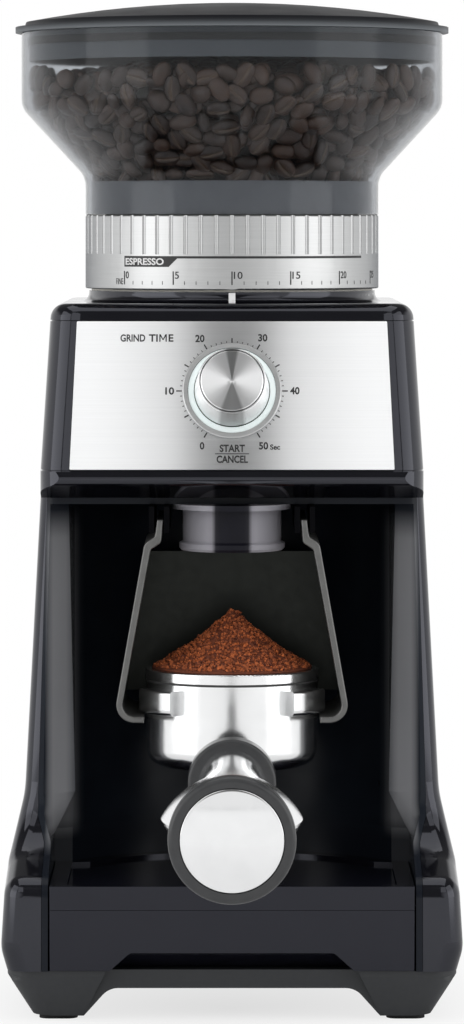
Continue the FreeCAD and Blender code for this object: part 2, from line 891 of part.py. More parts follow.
def alcove_volume(label, grow, low):
    """The tray bay, the flare above it and the alcove, grown by the liner's wall where asked."""
    body = new_body(label)
    ahead = d.base_front + 20.0
    pad(body, "XY_Plane", [bay_plan(grow, ahead)], d.bay_top - low, low)
    levels = (
        (d.bay_top, bay_plan(grow, ahead)),
        (d.flare_top, alcove_plan(grow, ahead, d.low_mouth_half, d.low_lip_half)),
        (d.ceiling_z + grow, alcove_plan(grow, ahead, d.mouth_half, d.lip_half)),
    )
    sections = [draw(body, "XY_Plane", [plan], z) for z, plan in levels]
    flare = body.newObject("PartDesign::AdditiveLoft", f"{label}_flare")
    flare.Profile = sections[0]
    flare.Sections = sections[1:]
    flare.Ruled = True
    return body


def rear_outline(grow):
    half, low, high = d.cover_half + grow, d.cover_bottom - grow, d.cover_top + grow
    corner = d.cover_round + grow
    return [(half, low, corner), (half, high, corner), (-half, high, corner), (-half, low, corner)]


def screw_spots_on_cover():
    inset = d.cover_ledge / 2.0
    return [(s * (d.cover_half - d.cover_round), z) for s in (-1, 1)
            for z in (d.cover_bottom + inset, d.cover_top - inset)]


def make_body():
    bare_skin, over = size_of(0.0), d.split_z + 5.0
    outer = whole_body("body_outer", bare_skin, d.plate_top, d.brow_z, d.brow_z, d.split_z)
    hollow = whole_body("body_hollow", d.skin, d.plate_top - 5.0, over, d.brow_z + d.skin, over)
    shell = combine("Cut", "body_shell", outer, hollow)
    bosses = new_body("body_bosses")
    spots = [(s, y) for s in (-1, 1) for y in (-d.base_screw_front, d.base_screw_back)]
    tall = d.boss_top - d.plate_top
    for s, y in spots:
        pad(bosses, "XY_Plane", [("circle", s * d.base_screw_x, y, d.screw_shank * 2.4)], tall, d.plate_top)
        reach = d.base_half - d.skin + 0.6
        low, high = (s * d.base_screw_x, s * reach) if s > 0 else (s * reach, s * d.base_screw_x)
        web = [(low, y - 1.2), (high, y - 1.2), (high, y + 1.2), (low, y + 1.2)]
        pad(bosses, "XY_Plane", [web], tall, d.plate_top)
    boss_limit = body_envelope("boss_limit", d.skin / 2.0, d.plate_top, d.brow_z)
    within = combine("Common", "body_bosses_in", bosses, boss_limit)
    solid = combine("Fuse", "body_solid", shell, within)
    tools = new_body("body_openings")
    pad(tools, "XY_Plane", [("circle", s * d.base_screw_x, y, d.screw_shank + 0.1) for s, y in spots],
        d.base_screw_length + 1.0, d.base_screw_seat_z)
    pad(tools, "XZ_Plane", [rear_outline(d.seat_gap)], d.cover_thick + 5.0, -(d.back_waist + 5.0))
    pad(tools, "XZ_Plane", [rear_outline(-d.cover_ledge)], 20.0, -(d.back_waist + 5.0))
    pad(tools, "XZ_Plane", [("circle", x, z, d.screw_shank + 0.1) for x, z in screw_spots_on_cover()],
        20.0, -(d.back_waist + 5.0))
    gland_hole = ("circle", d.gland_x, d.gland_z, d.gland_sleeve + 0.1)
    pad(tools, "XZ_Plane", [gland_hole], 20.0, -(d.back_base + 5.0))
    chute_hole = ("circle", 0.0, -d.outlet_front, d.chute_outer + d.running_gap)
    pad(tools, "XY_Plane", [chute_hole], d.skin + 4.0, d.brow_z - 2.0)
    grown = alcove_volume("alcove_cut", d.liner_wall + d.seat_gap, d.plate_top - 5.0)
    keep("body_housing", cut_all("body_housing", solid, [tools, grown]))

    limit = body_envelope("liner_limit", bare_skin, d.plate_top, d.brow_z)
    thick = alcove_volume("liner_outside", d.liner_wall, d.plate_top)
    bare = alcove_volume("liner_inside", size_of(0.0), d.plate_top - 5.0)
    walls = combine("Common", "liner_walls", combine("Cut", "liner_shell", thick, bare), limit)
    drop = new_body("liner_drop")
    pad(drop, "XY_Plane", [("circle", 0.0, -d.outlet_front, d.chute_bore)], 20.0, d.ceiling_z - 10.0)
    keep("alcove_liner", combine("Cut", "alcove_liner", walls, drop))

    plate = new_body("chassis_plate")
    half, corner = d.chassis_half, 9.0
    pad(plate, "XY_Plane", [
        [(-half, -d.chassis_front, corner), (half, -d.chassis_front, corner),
         (half, d.chassis_back, corner), (-half, d.chassis_back, corner)],
        ("circle", 0.0, d.motor_axis_back, d.motor_radius + 0.4),
    ], d.chassis_thick, d.ceiling_z + d.liner_wall)
    keep("chassis_plate", plate)

    cover = new_body("rear_cover")
    holes = [("circle", x, z, d.screw_shank + 0.1) for x, z in screw_spots_on_cover()]
    pad(cover, "XZ_Plane", [rear_outline(size_of(0.0))] + holes, d.cover_thick, -d.back_waist)
    low = d.cover_bottom + d.vent_first - d.vent_tall / 2.0
    high, corner = low + d.vent_tall, d.vent_tall * 0.45
    vent = pocket(cover, "XZ_Plane", [[(d.vent_half, low, corner), (d.vent_half, high, corner),
                                       (-d.vent_half, high, corner), (-d.vent_half, low, corner)]],
                  d.cover_thick * 4.0, -d.back_waist, middle=True)
    in_a_row(cover, vent, 10, d.vent_pitch * 9.0)
    keep("rear_cover", cover)

    screws = new_body("cover_screws")
    pad(screws, "XZ_Plane", [("circle", x, z, d.screw_head) for x, z in screw_spots_on_cover()],
        d.screw_head_tall, -(d.back_waist + d.screw_head_tall))
    pad(screws, "XZ_Plane", [("circle", x, z, d.screw_shank) for x, z in screw_spots_on_cover()],
        d.screw_length, -(d.back_waist + d.screw_head_tall / 2.0))
    keep("cover_screws", screws)

    gland = new_body("cord_gland", d.back_base, d.gland_z, d.gland_x)
    turn(gland, [
        (d.gland_bore, -d.gland_length), (d.gland_sleeve, -d.gland_length), (d.gland_sleeve, 0.0),
        (d.gland_flange, 0.0), (d.gland_flange, d.gland_flange_thick, 0.8),
        (d.gland_bore, d.gland_flange_thick),
    ], "XY_Plane")
    keep("cord_gland", gland)


# Grounds tray and its lift-off cover

def tray_plan(inset):
    """The tray seen from above, drawn in from the bay by an inset."""
    front = d.base_front
    side, shoulder = d.bay_half - inset, d.bay_shoulder_half - inset
    back = -d.bay_side_front - inset * 0.4
    return [
        (side, -front + (inset - d.tray_gap)), (side, back), (shoulder, back + 3.0 - inset * 0.2),
        ("via", 0.0, d.bay_back - inset), (-shoulder, back + 3.0 - inset * 0.2), (-side, back),
        (-side, -front + (inset - d.tray_gap)),
    ]


def is_front_corner(edge):
    return is_upright_corner(edge) and edge.CenterOfMass.y < -d.base_front.value + 1.0


def make_tray():
    tray = new_body("grinds_tray")
    floor_z = d.plate_top + d.running_gap
    pad(tray, "XY_Plane", [tray_plan(d.tray_gap)], d.strip_z - floor_z, floor_z)
    round_edges(tray, d.tray_corner, is_front_corner)
    wall = d.tray_gap + d.tray_wall
    basin = tray_plan(wall)
    inner_front = -d.base_front + d.tray_front_thick
    basin[0] = (basin[0][0], inner_front)
    basin[-1] = (basin[-1][0], inner_front)
    pocket(tray, "XY_Plane", [basin], d.strip_z - floor_z - d.tray_wall, d.strip_z)
    grip = new_body("tray_grip")
    ahead, behind = -d.base_front, -(d.base_front - d.notch_depth)
    pad(grip, "XZ_Plane", [both_sides([
        (d.notch_bottom_half, floor_z - 1.0), (d.notch_bottom_half, floor_z),
        (d.notch_top_half, d.notch_top_z, 3.0),
    ])], d.notch_depth + 1.0, d.base_front + 1.0, reverse=True)
    above, beyond = d.notch_top_z + 1.0, behind + 1.0
    slope = [(ahead, d.notch_top_z), (ahead, above), (beyond, above), (beyond, floor_z), (behind, floor_z)]
    pocket(grip, "YZ_Plane", [slope], WELL_CLEAR, middle=True)
    keep("grinds_tray", combine("Cut", "grinds_tray", tray, grip))

    cover = new_body("tray_cover")
    low = d.strip_z + d.seat_gap
    pad(cover, "XY_Plane", [tray_plan(d.tray_gap)], d.tray_top - low, low)
    round_edges(cover, d.tray_corner, is_front_corner)
    pocket(cover, "XY_Plane", [tray_plan(d.dish_inset)], d.dish_depth, d.tray_top)
    under = tray_plan(d.tray_gap + d.tray_wall + 3.0)
    under[0] = (under[0][0], inner_front + 3.0)
    under[-1] = (under[-1][0], inner_front + 3.0)
    pocket(cover, "XY_Plane", [under], d.tray_top - low - d.dish_depth - d.tray_wall, low, reverse=True)
    keep("tray_cover", cover)


# Head with its tilted control panel

def panel_body(label):
    """A body whose origin is the dial's centre, with its own upright axis square to the tilted panel."""
    return new_body(label, -d.dial_front, d.dial_z, 0.0, 90.0 - d.panel_tilt)


def panel_outline(grow):
    corner = d.panel_corner
    return both_sides([(d.panel_bottom_half + grow, -d.panel_down - grow, corner),
                       (d.panel_top_half + grow, d.panel_up + grow, corner)])


def head_share(z, low_size, high_size):
    """A size that changes evenly from the foot of the head to its top."""
    return low_size + (high_size - low_size) * (z - d.split_z) / (d.head_top - d.split_z)


def head_prism(label, inset, low, high):
    """The head's outer form drawn in by an inset, from one height to another, its top edge left sharp."""
    body = new_body(label)
    rows = [(head_share(z, d.split_half, d.head_half) - inset, z) for z in (low, high)]
    pad(body, "XZ_Plane", [both_sides(rows)], WELL_CLEAR * 2.0, middle=True)
    back_low, back_high = [head_share(z, d.back_waist, d.back_top) - inset for z in (low, high)]
    trim_to(body, [(-(head_front(low) - inset), low), (back_low, low), (back_high, high),
                   (-(head_front(high) - inset), high)])
    round_edges(body, d.corner_round - inset, is_upright_corner)
    return body


def seam_grooves(heights):
    """Fine grooves round the head, where its mouldings meet."""
    low, high = d.split_z - d.skin, d.head_top + d.skin
    outside = head_prism("seam_outside", -d.seam, low, high)
    inside = head_prism("seam_inside", d.seam, low - d.skin, high + d.skin)
    levels = new_body("seam_levels")
    far = WELL_CLEAR / 2.0
    for z in heights:
        pad(levels, "XY_Plane", [[(far, -far), (far, far), (-far, far), (-far, -far)]], d.seam, z)
    return combine("Common", "seam_grooves", combine("Cut", "seam_shell", outside, inside), levels)


def make_head():
    block = head_prism("head_block", size_of(0.0), d.split_z, d.head_top)
    top = d.head_top.value
    round_edges(block, d.head_round, lambda e: abs(e.BoundBox.ZMin - top) < 0.01)
    under = d.head_top - d.skin
    turn(block, [
        (d.throat_bore, under), (d.seat_outer + d.seat_cove, under), (d.seat_outer + d.seat_cove, d.head_top),
        (d.seat_outer, d.head_top, d.seat_cove - 0.2), (d.seat_outer, d.seat_top),
        (d.throat_bore, d.seat_top),
    ])
    over = d.seat_top + 5.0
    groove(block, [(0.0, d.split_z), (d.throat_bore, d.split_z), (d.throat_bore, over), (0.0, over)])
    hollow = new_body("head_hollow")
    inset, low, high = d.skin, d.split_z - 5.0, d.head_top - d.skin
    pad(hollow, "XZ_Plane", [both_sides([(d.split_half - inset, low), (d.split_half - inset, d.split_z),
                                         (d.head_half - inset - 1.0, high)])], WELL_CLEAR * 2.0, middle=True)
    inner = [(-(head_front(low) - inset), low), (d.back_waist - inset, low),
             (d.back_waist - inset, d.split_z), (d.back_top - inset - 2.0, high),
             (-(head_front(high) - inset - 2.0), high)]
    trim_to(hollow, inner)
    round_edges(hollow, d.corner_round - inset, is_upright_corner)
    recess = panel_body("panel_recess")
    pad(recess, "XY_Plane", [panel_outline(d.seat_gap)], d.panel_thick + 6.0, -d.panel_thick)
    pad(recess, "XY_Plane", [("circle", 0.0, 0.0, d.halo_inner + 0.8)], 20.0, -15.0)
    panel_edge = d.dial_z + d.panel_up * cosine(d.panel_tilt)
    seams = seam_grooves((d.split_z, panel_edge - d.seam / 4.0))
    keep("head_housing", cut_all("head_housing", block, [hollow, recess, seams]))

    panel = panel_body("front_panel")
    dial_hole = ("circle", 0.0, 0.0, d.bezel_inner)
    pad(panel, "XY_Plane", [panel_outline(size_of(0.0)), dial_hole], d.panel_thick, -d.panel_thick)
    keep("front_panel", panel)

    glide = new_body("collar_glide")
    inner, outer, glide_top = d.throat_bore + 1.5, d.seat_outer - 1.0, d.seat_top + d.glide_thick
    turn(glide, [(inner, d.seat_top), (outer, d.seat_top), (outer, glide_top), (inner, glide_top)])
    keep("collar_glide", glide)

    mark = new_body("collar_pointer")
    near, far = d.seat_outer + 0.05, d.seat_outer + 0.05 + d.pointer_thick
    ground = d.head_top + 0.05
    long = d.seat_outer + d.seat_cove + 3.0
    profile = [
        (near, d.seat_top - 0.3), (near, ground, d.seat_cove), (long, ground),
        (long, ground + d.pointer_thick),
        (far, ground + d.pointer_thick, d.seat_cove - d.pointer_thick), (far, d.seat_top - 0.3),
    ]
    upright = [(-p[0],) + tuple(p[1:]) for p in profile]
    pad(mark, "YZ_Plane", [upright], d.pointer_wide, middle=True)
    keep("collar_pointer", mark)


# Dial group on the panel

def make_dial():
    bezel = panel_body("dial_bezel")
    turn(bezel, [(d.bezel_inner, 0.0), (d.bezel_outer, 0.0), (d.bezel_outer, d.bezel_tall, 0.6),
                 (d.bezel_inner, d.bezel_tall)])
    keep("dial_bezel", bezel)

    halo = panel_body("light_ring")
    turn(halo, [(d.halo_inner, -d.panel_thick), (d.bezel_inner - d.seat_gap, -d.panel_thick),
                (d.bezel_inner - d.seat_gap, d.halo_tall), (d.halo_inner, d.halo_tall)])
    keep("light_ring", halo)

    knob = panel_body("time_dial")
    rim_z = d.knob_lift + d.knob_tall
    recess_z = rim_z - d.button_tall - d.button_travel - 0.3
    stem_bore = d.button_stem + d.running_gap
    turn(knob, [
        (stem_bore, d.knob_lift - d.hub_deep), (d.knob_hub, d.knob_lift - d.hub_deep),
        (d.knob_hub, d.knob_lift), (d.knob_base, d.knob_lift), (d.knob_rim, rim_z, 0.4),
        (d.button_outer + d.running_gap, rim_z),
        (d.button_outer + d.running_gap, recess_z), (stem_bore, recess_z),
    ])
    keep("time_dial", knob)

    button = panel_body("start_button")
    low = rim_z - d.button_tall
    stem_end = d.knob_lift - d.hub_deep + d.button_travel
    turn(button, [
        (0.0, stem_end), (d.button_stem, stem_end), (d.button_stem, low), (d.button_outer, low),
        (d.button_outer, rim_z + 0.3, 0.5), (0.0, rim_z - 0.3),
    ])
    keep("start_button", button)

    encoder = panel_body("dial_encoder")
    half = d.encoder_side / 2.0
    top = d.knob_lift - d.hub_deep - d.running_gap
    pad(encoder, "XY_Plane", [[(-half, -half), (half, -half), (half, half), (-half, half)]],
        d.encoder_deep, top - d.encoder_deep)
    keep("dial_encoder", encoder)

    board = panel_body("control_board")
    pad(board, "XY_Plane", [[(-d.board_half, -d.board_down), (d.board_half, -d.board_down),
                             (d.board_half, d.board_up), (-d.board_half, d.board_up)]],
        d.board_thick, top - d.encoder_deep - d.board_thick)
    keep("control_board", board)


# Hopper, lid and grind collar

def make_collar():
    collar = new_body("grind_collar")
    inner = d.collar_outer - d.collar_wall
    web_top = d.web_z + d.web_thick
    turn(collar, [
        (d.collar_outer, d.collar_bottom, 0.6), (d.collar_outer, d.collar_top, 0.8), (inner, d.collar_top),
        (inner, web_top), (d.web_bore, web_top), (d.web_bore, d.web_z), (inner, d.web_z),
        (inner, d.collar_bottom),
    ])
    flute_out = d.collar_outer + d.flute_radius - d.flute_deep
    flute = pocket(collar, "XY_Plane", [("circle", 0.0, -flute_out, d.flute_radius)],
                   d.collar_top - d.flute_bottom + 1.0, d.collar_top + 1.0)
    round_the_axis(collar, flute, 60)
    half = d.drive_lug_wide / 2.0 + d.running_gap
    reach = d.web_bore + d.drive_lug_long + d.running_gap
    within = d.web_bore - 4.0
    notch = pocket(collar, "XY_Plane", [[(-half, within), (half, within), (half, reach), (-half, reach)]],
                   d.web_thick + 2.0, web_top + 1.0)
    round_the_axis(collar, notch, 3)
    lug_top = d.throat_bottom + d.lock_lug_tall + d.running_gap
    hook_in, hook_top = d.lock_skirt + d.running_gap, lug_top + d.lock_lug_tall
    hook = feature(collar, "Revolution", draw(collar, "XZ_Plane", [[
        (hook_in, lug_top), (inner + 0.5, lug_top), (inner + 0.5, hook_top), (hook_in, hook_top),
    ]]))
    hook.ReferenceAxis = (hook.Profile[0], ["V_Axis"])
    hook.Angle = bind(hook, "Angle", d.lock_lug_angle)
    hook.Midplane = True
    round_the_axis(collar, hook, 3)
    keep("grind_collar", collar)


def make_hopper():
    low = d.collar_top + d.hopper_gap
    wall = d.hopper_wall
    bowl = new_body("bean_hopper")
    turn(bowl, [
        (d.collar_outer, low), (d.collar_outer, d.neck_top, d.hopper_round),
        (d.bowl_radius, d.bowl_bottom, d.hopper_round), (d.bowl_radius, d.hopper_top),
        (d.bowl_radius - wall, d.hopper_top),
        (d.bowl_radius - wall, d.bowl_bottom + 0.9, d.hopper_round - wall),
        (d.collar_outer - wall, d.neck_top + 0.9, d.hopper_round + wall), (d.collar_outer - wall, low),
    ])
    keep("bean_hopper", bowl)

    insert = new_body("hopper_base")
    edge = d.collar_outer - wall - d.seat_gap
    thin = d.base_insert_wall
    throat = d.throat_radius
    floor_z = low + 3.0
    turn(insert, [
        (throat, d.throat_bottom), (throat + thin, d.throat_bottom), (throat + thin, floor_z - 1.0),
        (d.lock_skirt - thin, floor_z - 1.0), (d.lock_skirt - thin, d.throat_bottom),
        (d.lock_skirt, d.throat_bottom), (d.lock_skirt, low), (edge, low), (edge, d.base_insert_top),
        (edge - 1.0, d.base_insert_top),
        (throat + 6.0, floor_z + 2.0), (throat, floor_z + 1.0),
    ])
    root, tip = d.lock_skirt - 0.5, d.lock_skirt + d.lock_lug
    lug_top = d.throat_bottom + d.lock_lug_tall
    lug = feature(insert, "Revolution", draw(insert, "XZ_Plane", [[
        (root, d.throat_bottom), (tip, d.throat_bottom), (tip, lug_top), (root, lug_top),
    ]]))
    lug.ReferenceAxis = (lug.Profile[0], ["V_Axis"])
    lug.Angle = bind(lug, "Angle", d.lock_lug_angle - 4.0)
    lug.Midplane = True
    round_the_axis(insert, lug, 3)
    keep("hopper_base", insert)

    lid = new_body("hopper_lid")
    lip_z = d.hopper_top + 0.2
    top_z = lip_z + d.lid_lip
    disc_z = lip_z + d.lid_step
    thick = d.lid_thick
    skirt = d.skirt_outer - d.skirt_wall
    under, under_edge = d.lid_top - thick, disc_z - thick * 0.6
    sketch = draw(lid, "XZ_Plane", [[
        (0.0, under), crown_via(skirt, under_edge, under), (skirt, under_edge), (skirt, d.skirt_bottom),
        (d.skirt_outer, d.skirt_bottom), (d.skirt_outer, lip_z), (d.lid_radius, lip_z),
        (d.lid_radius, top_z), (d.lid_disc + 0.6, top_z + 0.3), (d.lid_disc, disc_z),
        crown_via(d.lid_disc, disc_z, d.lid_top), (0.0, d.lid_top),
    ]])
    dome = feature(lid, "Revolution", sketch)
    dome.ReferenceAxis = (sketch, ["V_Axis"])
    dome.Angle = 360.0
    keep("hopper_lid", lid)

    seal = new_body("lid_seal")
    edge, seal_top = d.bowl_radius - wall - 0.35, d.seal_z + d.seal_tall
    turn(seal, [(d.skirt_outer, d.seal_z), (edge, d.seal_z), (edge, seal_top), (d.skirt_outer, seal_top)])
    keep("lid_seal", seal)


# Conical burrs, their carrier and the chamber round them

def star(count, outer, inner, z, lead):
    """A toothed ring outline: a steep face and a long back to each tooth."""
    points = []
    for i in range(count):
        for share, radius in ((0.0, outer), (0.3, inner)):
            angle = math.radians((i + share) * 360.0 / count + lead)
            points.append(V(radius * math.cos(angle), radius * math.sin(angle), z))
    return Part.makePolygon(points + points[:1])


def toothed(label, bands):
    """A solid ruled through toothed outlines, band by band: each band is its list of star settings."""
    shape = None
    for band in bands:
        piece = Part.makeLoft([star(*row) for row in band], True, True)
        shape = piece if shape is None else shape.fuse(piece)
    made = doc.addObject("Part::Feature", label)
    made.Label = label
    made.Shape = shape.removeSplitter()
    made.Placement = FreeCAD.Placement(V(0, d.burr_axis_y.value, 0), FreeCAD.Rotation())
    made.setExpression("Placement.Base.y", d.burr_axis_y.text)
    return made


def make_burrs():
    low, high = d.cone_bottom_z.value, d.cone_top_z.value
    wide, narrow = d.cone_bottom.value, d.cone_top.value
    split = low + (high - low) * 0.3
    waist = wide + (narrow - wide) * 0.3
    cone = toothed("burr_cone", [
        [(36, wide, wide - 0.9, low, 0.0), (36, waist, waist - 0.9, split, 4.0)],
        [(9, waist + 0.2, waist - 2.6, split, 0.0), (9, narrow + 1.5, narrow - 2.5, high - 3.0, 34.0)],
    ])
    bore = new_body("burr_cone_bore")
    pad(bore, "XY_Plane", [("circle", 0.0, 0.0, d.shaft_radius + d.shaft_fit)], 60.0, d.cone_bottom_z - 10.0)
    keep("lower_burr", combine("Cut", "lower_burr", cone, bore))

    base_z = d.carrier_bottom.value
    top_z = base_z + d.burr_tall.value
    mid_z = base_z + d.burr_tall.value * 0.35
    fine = wide - (wide - narrow) * (base_z - low) / (high - low) + d.burr_clearance.value
    mouth = d.burr_mouth.value
    middle = fine - 0.8
    hollow = toothed("upper_burr_hollow", [
        [(40, fine + 0.9, fine, base_z - 1.0, 0.0), (40, middle + 0.9, middle, mid_z, -4.0)],
        [(10, middle + 2.6, middle, mid_z - 0.01, 0.0), (10, mouth + 3.2, mouth, top_z + 1.0, -30.0)],
    ])
    ring = new_body("upper_burr_ring")
    pad(ring, "XY_Plane", [("circle", 0.0, 0.0, d.burr_outer)], d.burr_tall, d.carrier_bottom)
    keep("upper_burr", combine("Cut", "upper_burr", ring, hollow))

    carrier = new_body("burr_carrier")
    seat = d.burr_outer + d.seat_gap
    ledge_z = d.carrier_bottom + d.burr_tall
    flange_top = d.carrier_flange_z + d.carrier_flange_thick
    flange = d.web_bore - d.running_gap
    turn(carrier, [
        (seat, d.carrier_bottom), (d.carrier_outer, d.carrier_bottom), (d.carrier_outer, d.carrier_flange_z),
        (flange, d.carrier_flange_z), (flange, flange_top), (d.throat_radius - 0.5, flange_top),
        (d.throat_radius - 0.5, ledge_z), (seat, ledge_z),
    ])
    half, root, tip = d.drive_lug_wide / 2.0, flange - 4.0, d.web_bore + d.drive_lug_long
    lug = pad(carrier, "XY_Plane", [[(-half, root), (half, root), (half, tip), (-half, tip)]],
              d.carrier_flange_thick, d.carrier_flange_z)
    round_the_axis(carrier, lug, 3)
    keep("burr_carrier", carrier)

    chamber = new_body("grinding_chamber")
    bore_r = d.carrier_outer + d.running_gap
    outside = bore_r + d.chamber_wall
    floor_top = d.chamber_bottom + d.chamber_floor
    roof = d.head_top - d.skin
    turn(chamber, [
        (d.shaft_radius + d.shaft_fit, d.chamber_bottom), (outside, d.chamber_bottom),
        (outside, roof - d.chamber_flange_thick), (d.chamber_flange, roof - d.chamber_flange_thick),
        (d.chamber_flange, roof), (bore_r, roof), (bore_r, floor_top), (d.felt_radius, floor_top),
        (d.felt_radius, floor_top - d.felt_thick), (d.shaft_radius + d.shaft_fit, floor_top - d.felt_thick),
    ])
    pocket(chamber, "XZ_Plane", [("circle", 0.0, d.port_z, d.port_radius)], 20.0, outside + 5.0)
    keep("grinding_chamber", chamber)

    felt = new_body("chamber_seal")
    bore, edge, felt_low = d.shaft_radius + d.shaft_fit, d.felt_radius - 0.05, floor_top - d.felt_thick
    turn(felt, [(bore, felt_low), (edge, felt_low), (edge, floor_top), (bore, floor_top)])
    keep("chamber_seal", felt)

    wheel = new_body("impeller")
    disc_top = d.impeller_bottom + d.impeller_disc
    hub = d.shaft_radius + 5.0
    turn(wheel, [
        (bore, d.impeller_bottom), (d.impeller_radius, d.impeller_bottom), (d.impeller_radius, disc_top),
        (hub, disc_top), (hub, d.cone_bottom_z), (bore, d.cone_bottom_z),
    ])
    half, root, tip = 1.2, d.cone_bottom + 1.0, d.impeller_radius - 0.6
    blade = pad(wheel, "XY_Plane", [[(-half, root), (half, root), (half, tip), (-half, tip)]],
                d.impeller_blade, disc_top)
    round_the_axis(wheel, blade, 6)
    keep("impeller", wheel)

    nut = new_body("burr_nut")
    nut_low = d.cone_top_z - 3.0
    pad(nut, "XY_Plane", [hexagon(d.nut_flat), ("circle", 0.0, 0.0, bore)], d.nut_tall, nut_low)
    keep("burr_nut", nut)

    shaft = new_body("burr_shaft")
    shaft_top = nut_low + d.nut_tall + 1.5
    turn(shaft, [(0.0, d.shaft_bottom), (d.shaft_radius, d.shaft_bottom),
                 (d.shaft_radius, shaft_top, 1.0), (0.0, shaft_top)])
    keep("burr_shaft", shaft)


def hexagon(flat_half):
    corner = flat_half / cosine(size_of(30.0))
    turns = [math.radians(a) for a in range(0, 360, 60)]
    return [(corner * math.cos(a), corner * math.sin(a)) for a in turns]


# Gear train: motor pinion, compound idler and the output gear on the burr shaft

def gear_points(teeth, backlash):
    """One turn of an involute gear outline, its first tooth centred on +X."""
    module = d.gear_module.value
    pressure = math.radians(25.0)
    pitch = module * teeth / 2.0
    base = pitch * math.cos(pressure)
    tip, root = pitch + module, pitch - module * 1.25
    half_at_pitch = math.pi / (2.0 * teeth) - backlash / (2.0 * pitch)

    def half_angle(radius):
        if radius <= base:
            return half_at_pitch + math.tan(pressure) - pressure
        slant = math.acos(base / radius)
        return half_at_pitch + (math.tan(pressure) - pressure) - (math.tan(slant) - slant)

    start = max(root, base)
    radii = [start + (tip - start) * share for share in (0.0, 0.35, 0.7, 1.0)]
    points = []
    for i in range(teeth):
        centre = 2.0 * math.pi * i / teeth
        flank = [(root, half_angle(start) * 1.06)] + [(r, half_angle(r)) for r in radii]
        for radius, angle in flank:
            points.append((radius, centre - angle))
        for radius, angle in reversed(flank):
            points.append((radius, centre + angle))
    return [V(r * math.cos(a), r * math.sin(a), 0) for r, a in points]


def gear_solid(teeth, face, bore, turned):
    rotation = FreeCAD.Rotation(V(0, 0, 1), turned)
    outline = [rotation.multVec(p) for p in gear_points(teeth, d.gear_backlash.value)]
    disc = Part.Face(Part.makePolygon(outline + outline[:1])).extrude(V(0, 0, face))
    return disc.cut(Part.makeCylinder(bore, face + 2.0, V(0, 0, -1)))


def gear_part(label, x, y, rows):
    """Gears and sleeves on one axis; a row is (kind, teeth or outer radius, low, high, bore, turned)."""
    shape = None
    for kind, across, low, high, bore, turned in rows:
        if kind == "gear":
            piece = gear_solid(across, high - low, bore, turned)
        else:
            piece = Part.makeCylinder(across, high - low)
            if bore > 0:
                piece = piece.cut(Part.makeCylinder(bore, high - low + 2.0, V(0, 0, -1)))
        piece.translate(V(0, 0, low))
        shape = piece if shape is None else shape.fuse(piece)
    made = doc.addObject("Part::Feature", label)
    made.Label = label
    made.Shape = shape.removeSplitter()
    made.Placement = FreeCAD.Placement(V(x.value, (d.burr_axis_y + y).value, 0), FreeCAD.Rotation())
    bind(made, "Placement.Base.x", x)
    bind(made, "Placement.Base.y", d.burr_axis_y + y)
    return keep(label, made)


def idler_place():
    """The idler's axis, where both of its meshes close."""
    module = d.gear_module.value
    first = module * (d.output_teeth.value + d.idler_pinion_teeth.value) / 2.0
    second = module * (d.idler_teeth.value + d.motor_teeth.value) / 2.0
    back = d.motor_axis_back.value
    y = (first ** 2 - second ** 2 + back ** 2) / (2.0 * back)
    return math.sqrt(first ** 2 - y ** 2), y


def meshing_turn(teeth, other_teeth, other_turned, towards):
    """How far a gear is turned so that a gap of it faces a tooth of the gear lying in the given direction."""
    pitch_angle, other_pitch = 360.0 / teeth, 360.0 / other_teeth
    beyond = (towards + 180.0 - other_turned) / other_pitch
    into = (beyond - math.floor(beyond)) * other_pitch
    return towards + pitch_angle / 2.0 + into * other_teeth / teeth


